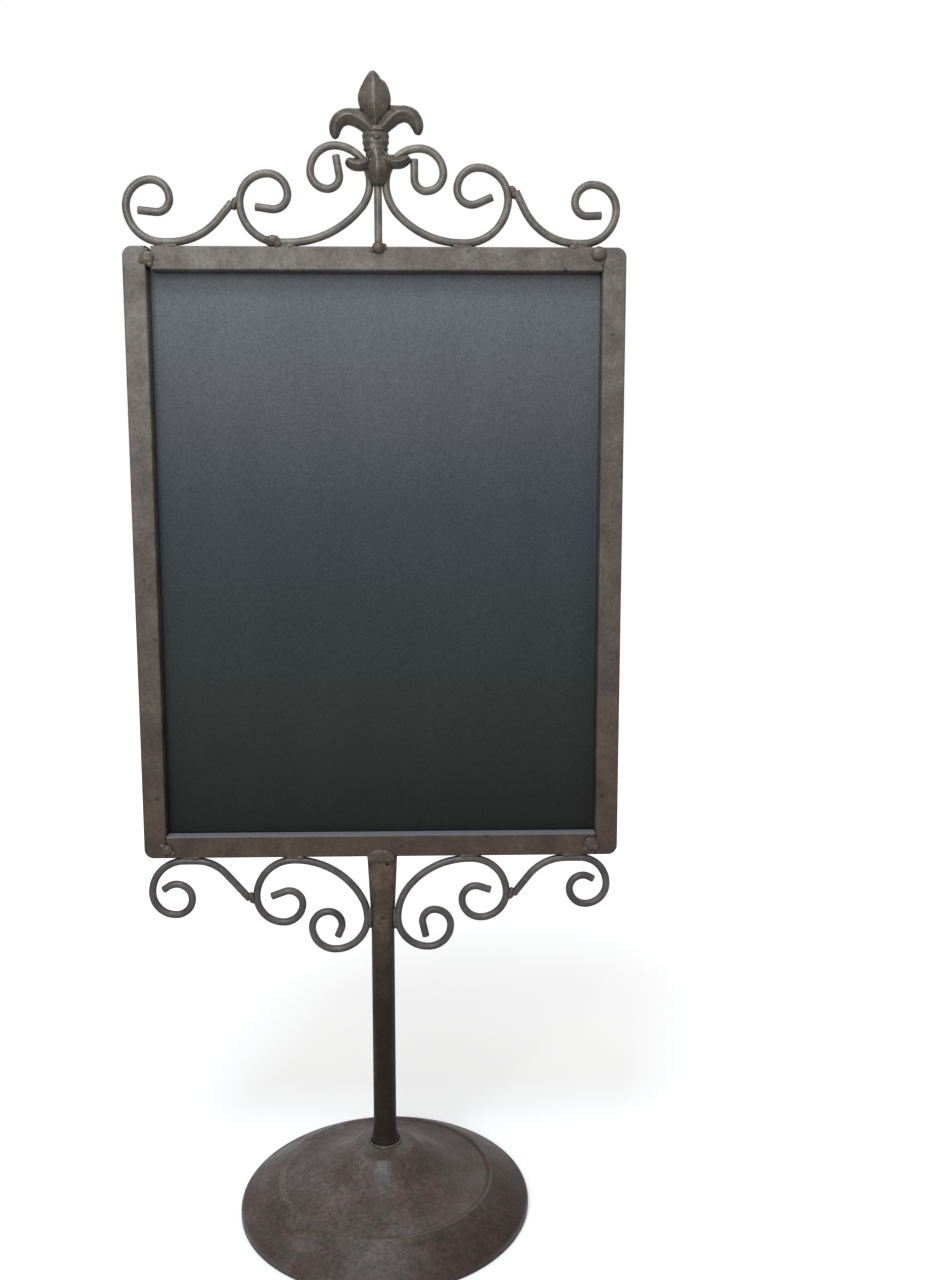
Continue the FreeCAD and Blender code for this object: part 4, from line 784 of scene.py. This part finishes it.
def seatLumps():
    lumps = []
    for index, corner in enumerate(cornerNames):
        for rods in (innerRods, outerRods):
            x, z = railSeat(corner, rods)
            aside = -seatBead["aside"] if index % 2 else seatBead["aside"]
            lumps.append((x, seatBead["plane"], z, *seatBead["size"], 0))
            lumps.append((x + aside, seatBead["swellPlane"], z, *seatBead["swellSize"], 0))
    return lumps + seatBead["bigLump"]


# The bead in the notch between each outer scroll's tail and the inner scroll, with a toe on the rail's side.
jointBead = {"beyond": 3.6, "plane": -3.2, "size": (3.3, 3.5, 4.6), "lean": 25,
             "toeAside": 1.0, "toeDrop": 3.0, "toePlane": -3.4, "toeSize": (2.6, 3.3, 3.2)}


def jointLumps():
    lumps = []
    for corner in cornerNames:
        side, up = directions(corner)
        inner = innerRods[corner]
        x = side * (inner["seat"] + inner["run"] + inner["curl"] + jointBead["beyond"])
        z = levels["Top" if up > 0 else "Bottom"] + up * (inner["curl"] + outerRods[corner]["lift"])
        lumps.append((x, jointBead["plane"], z, *jointBead["size"], -side * up * jointBead["lean"]))
        lumps.append((x + side * jointBead["toeAside"], jointBead["toePlane"], z - up * jointBead["toeDrop"],
                      *jointBead["toeSize"], 0))
    return lumps


# Each lump is a ball squashed to size. The lumps are then melted together.
def weldPiece(name, lumps):
    balls = []
    for index, (x, y, z, across, deep, high, lean) in enumerate(lumps):
        clearSelection()
        bpy.ops.mesh.primitive_uv_sphere_add(segments=weldLook["segments"], ring_count=weldLook["rings"],
                                             radius=mm, location=(x * mm, y * mm, z * mm),
                                             rotation=(0, math.radians(lean), 0), scale=(across, deep, high))
        balls.append(settle(f"{name}{index}"))
    piece = joinPieces(balls, name)
    meltTogether(piece, weldLook["voxel"], weldLook["smooth"])
    unevenSkin(piece, weldLook["skinSize"], weldLook["skinDepth"])
    return piece


welds["seatBeads"] = {"nodes": ["scroll_seat_welds"], "lumps": seatLumps()}
welds["jointBeads"] = {"nodes": ["scroll_joint_welds"], "lumps": jointLumps()}
for name, plan in welds.items():
    done(weldPiece(name, plan["lumps"]), "weldPaint", "weld_metal", *plan["nodes"])

# The ring of weld round the post's foot.
footBead = {"segments": 72, "sides": 14, "ringRadius": 13.6, "radius": 1.5, "height": 58.2, "skinSize": 0.006,
            "skinDepth": 0.0009}

clearSelection()
bpy.ops.mesh.primitive_torus_add(major_segments=footBead["segments"], minor_segments=footBead["sides"],
                                 major_radius=footBead["ringRadius"] * mm,
                                 minor_radius=footBead["radius"] * mm,
                                 location=(0, 0, footBead["height"] * mm))
footRing = settle("footRing")
unevenSkin(footRing, footBead["skinSize"], footBead["skinDepth"])
done(footRing, "basePaint", "weld_metal", "post_foot_weld")
print("weld beads laid")


# Setting.

# The camera is in millimetres and degrees, the floor and its glow in metres.
setting = {"floorSize": 12, "floorColour": (0.86, 0.86, 0.86), "floorRough": 0.9,
           "nearGlow": 0.28, "farGlow": 0.75, "glowSpan": (0.20, 1.4), "world": 0.42,
           "camera": (43.4, -997.0, 641.8), "yaw": 1.528, "pitch": 7.579, "roll": 0.076,
           "lens": 33.4, "sensor": 36, "clip": (0.05, 50)}


# A pale floor that glows a little towards its far end, where only the camera sees it.
def layFloor():
    clearSelection()
    bpy.ops.mesh.primitive_plane_add(size=setting["floorSize"], location=(0, 0, 0))
    floor = settle("paleFloor")
    openMesh(floor)
    bpy.ops.mesh.subdivide(number_cuts=1)
    closeMesh()
    material, tree, shader, place = newFinish("paleFloor")
    shader.inputs["Base Color"].default_value = (*setting["floorColour"], 1)
    shader.inputs["Roughness"].default_value = setting["floorRough"]
    shader.inputs["Specular IOR Level"].default_value = 0.0
    away = lengthOf(tree, place)
    glow = greyRange(tree, away, *setting["glowSpan"], setting["nearGlow"], setting["farGlow"])
    path = tree.nodes.new("ShaderNodeLightPath")
    glow = calculate(tree, "MULTIPLY", path.outputs["Is Camera Ray"], glow)
    shader.inputs["Emission Color"].default_value = (1, 1, 1, 1)
    wire(tree, glow, shader.inputs["Emission Strength"])
    floor.data.materials.append(material)
    floor.select_set(False)


# A white room that lights the stand more softly than it looks.
def softRoom():
    world = bpy.data.worlds.new("softRoom")
    bpy.context.scene.world = world
    world.use_nodes = True
    tree = world.node_tree
    ground = tree.nodes["Background"]
    ground.inputs["Color"].default_value = (1, 1, 1, 1)
    path = tree.nodes.new("ShaderNodeLightPath")
    seen = calculate(tree, "MAXIMUM", path.outputs["Is Camera Ray"], path.outputs["Is Transmission Ray"])
    wire(tree, greyRange(tree, seen, 0, 1, setting["world"], 1), ground.inputs["Strength"])


# Places and sizes in metres, power in watts.
lamps = {
    "keyPanel": {"place": (-0.6, -2.2, 1.5), "aim": (0, 0, 0.45), "size": 1.2, "power": 33,
                 "colour": (1, 0.99, 0.97)},
    "overPanel": {"place": (-0.25, -0.9, 2.0), "aim": (0, 0, 0), "size": 0.5, "power": 15,
                  "colour": (0.76, 0.87, 1.0)},
    "fillPanel": {"place": (1.8, -1.3, 1.3), "aim": (0, 0, 0.50), "size": 1.4, "power": 2,
                  "colour": (1, 1, 1)},
    "rearPanel": {"place": (0.4, 2.1, 1.9), "aim": (0, 0, 0.50), "size": 1.6, "power": 9,
                  "colour": (1, 1, 1)},
}


def lightUp():
    for name, plan in lamps.items():
        lamp = bpy.data.lights.new(name, "AREA")
        lamp.size = plan["size"]
        lamp.energy = plan["power"]
        lamp.color = plan["colour"]
        thing = bpy.data.objects.new(name, lamp)
        bpy.context.scene.collection.objects.link(thing)
        thing.location = plan["place"]
        aim = Vector(plan["aim"]) - Vector(plan["place"])
        thing.rotation_euler = aim.to_track_quat("-Z", "Y").to_euler()


def setCamera():
    camera = bpy.data.cameras.new("standCamera")
    camera.sensor_width = setting["sensor"]
    camera.lens = setting["lens"]
    camera.clip_start, camera.clip_end = setting["clip"]
    thing = bpy.data.objects.new("standCamera", camera)
    bpy.context.scene.collection.objects.link(thing)
    thing.location = tuple(value * mm for value in setting["camera"])
    thing.rotation_mode = "XYZ"
    thing.rotation_euler = (math.radians(90 - setting["pitch"]), math.radians(setting["roll"]),
                            math.radians(-setting["yaw"]))
    bpy.context.scene.camera = thing


layFloor()
softRoom()
lightUp()
setCamera()
bpy.context.scene.view_settings.view_transform = "Standard"
print("studio ready")
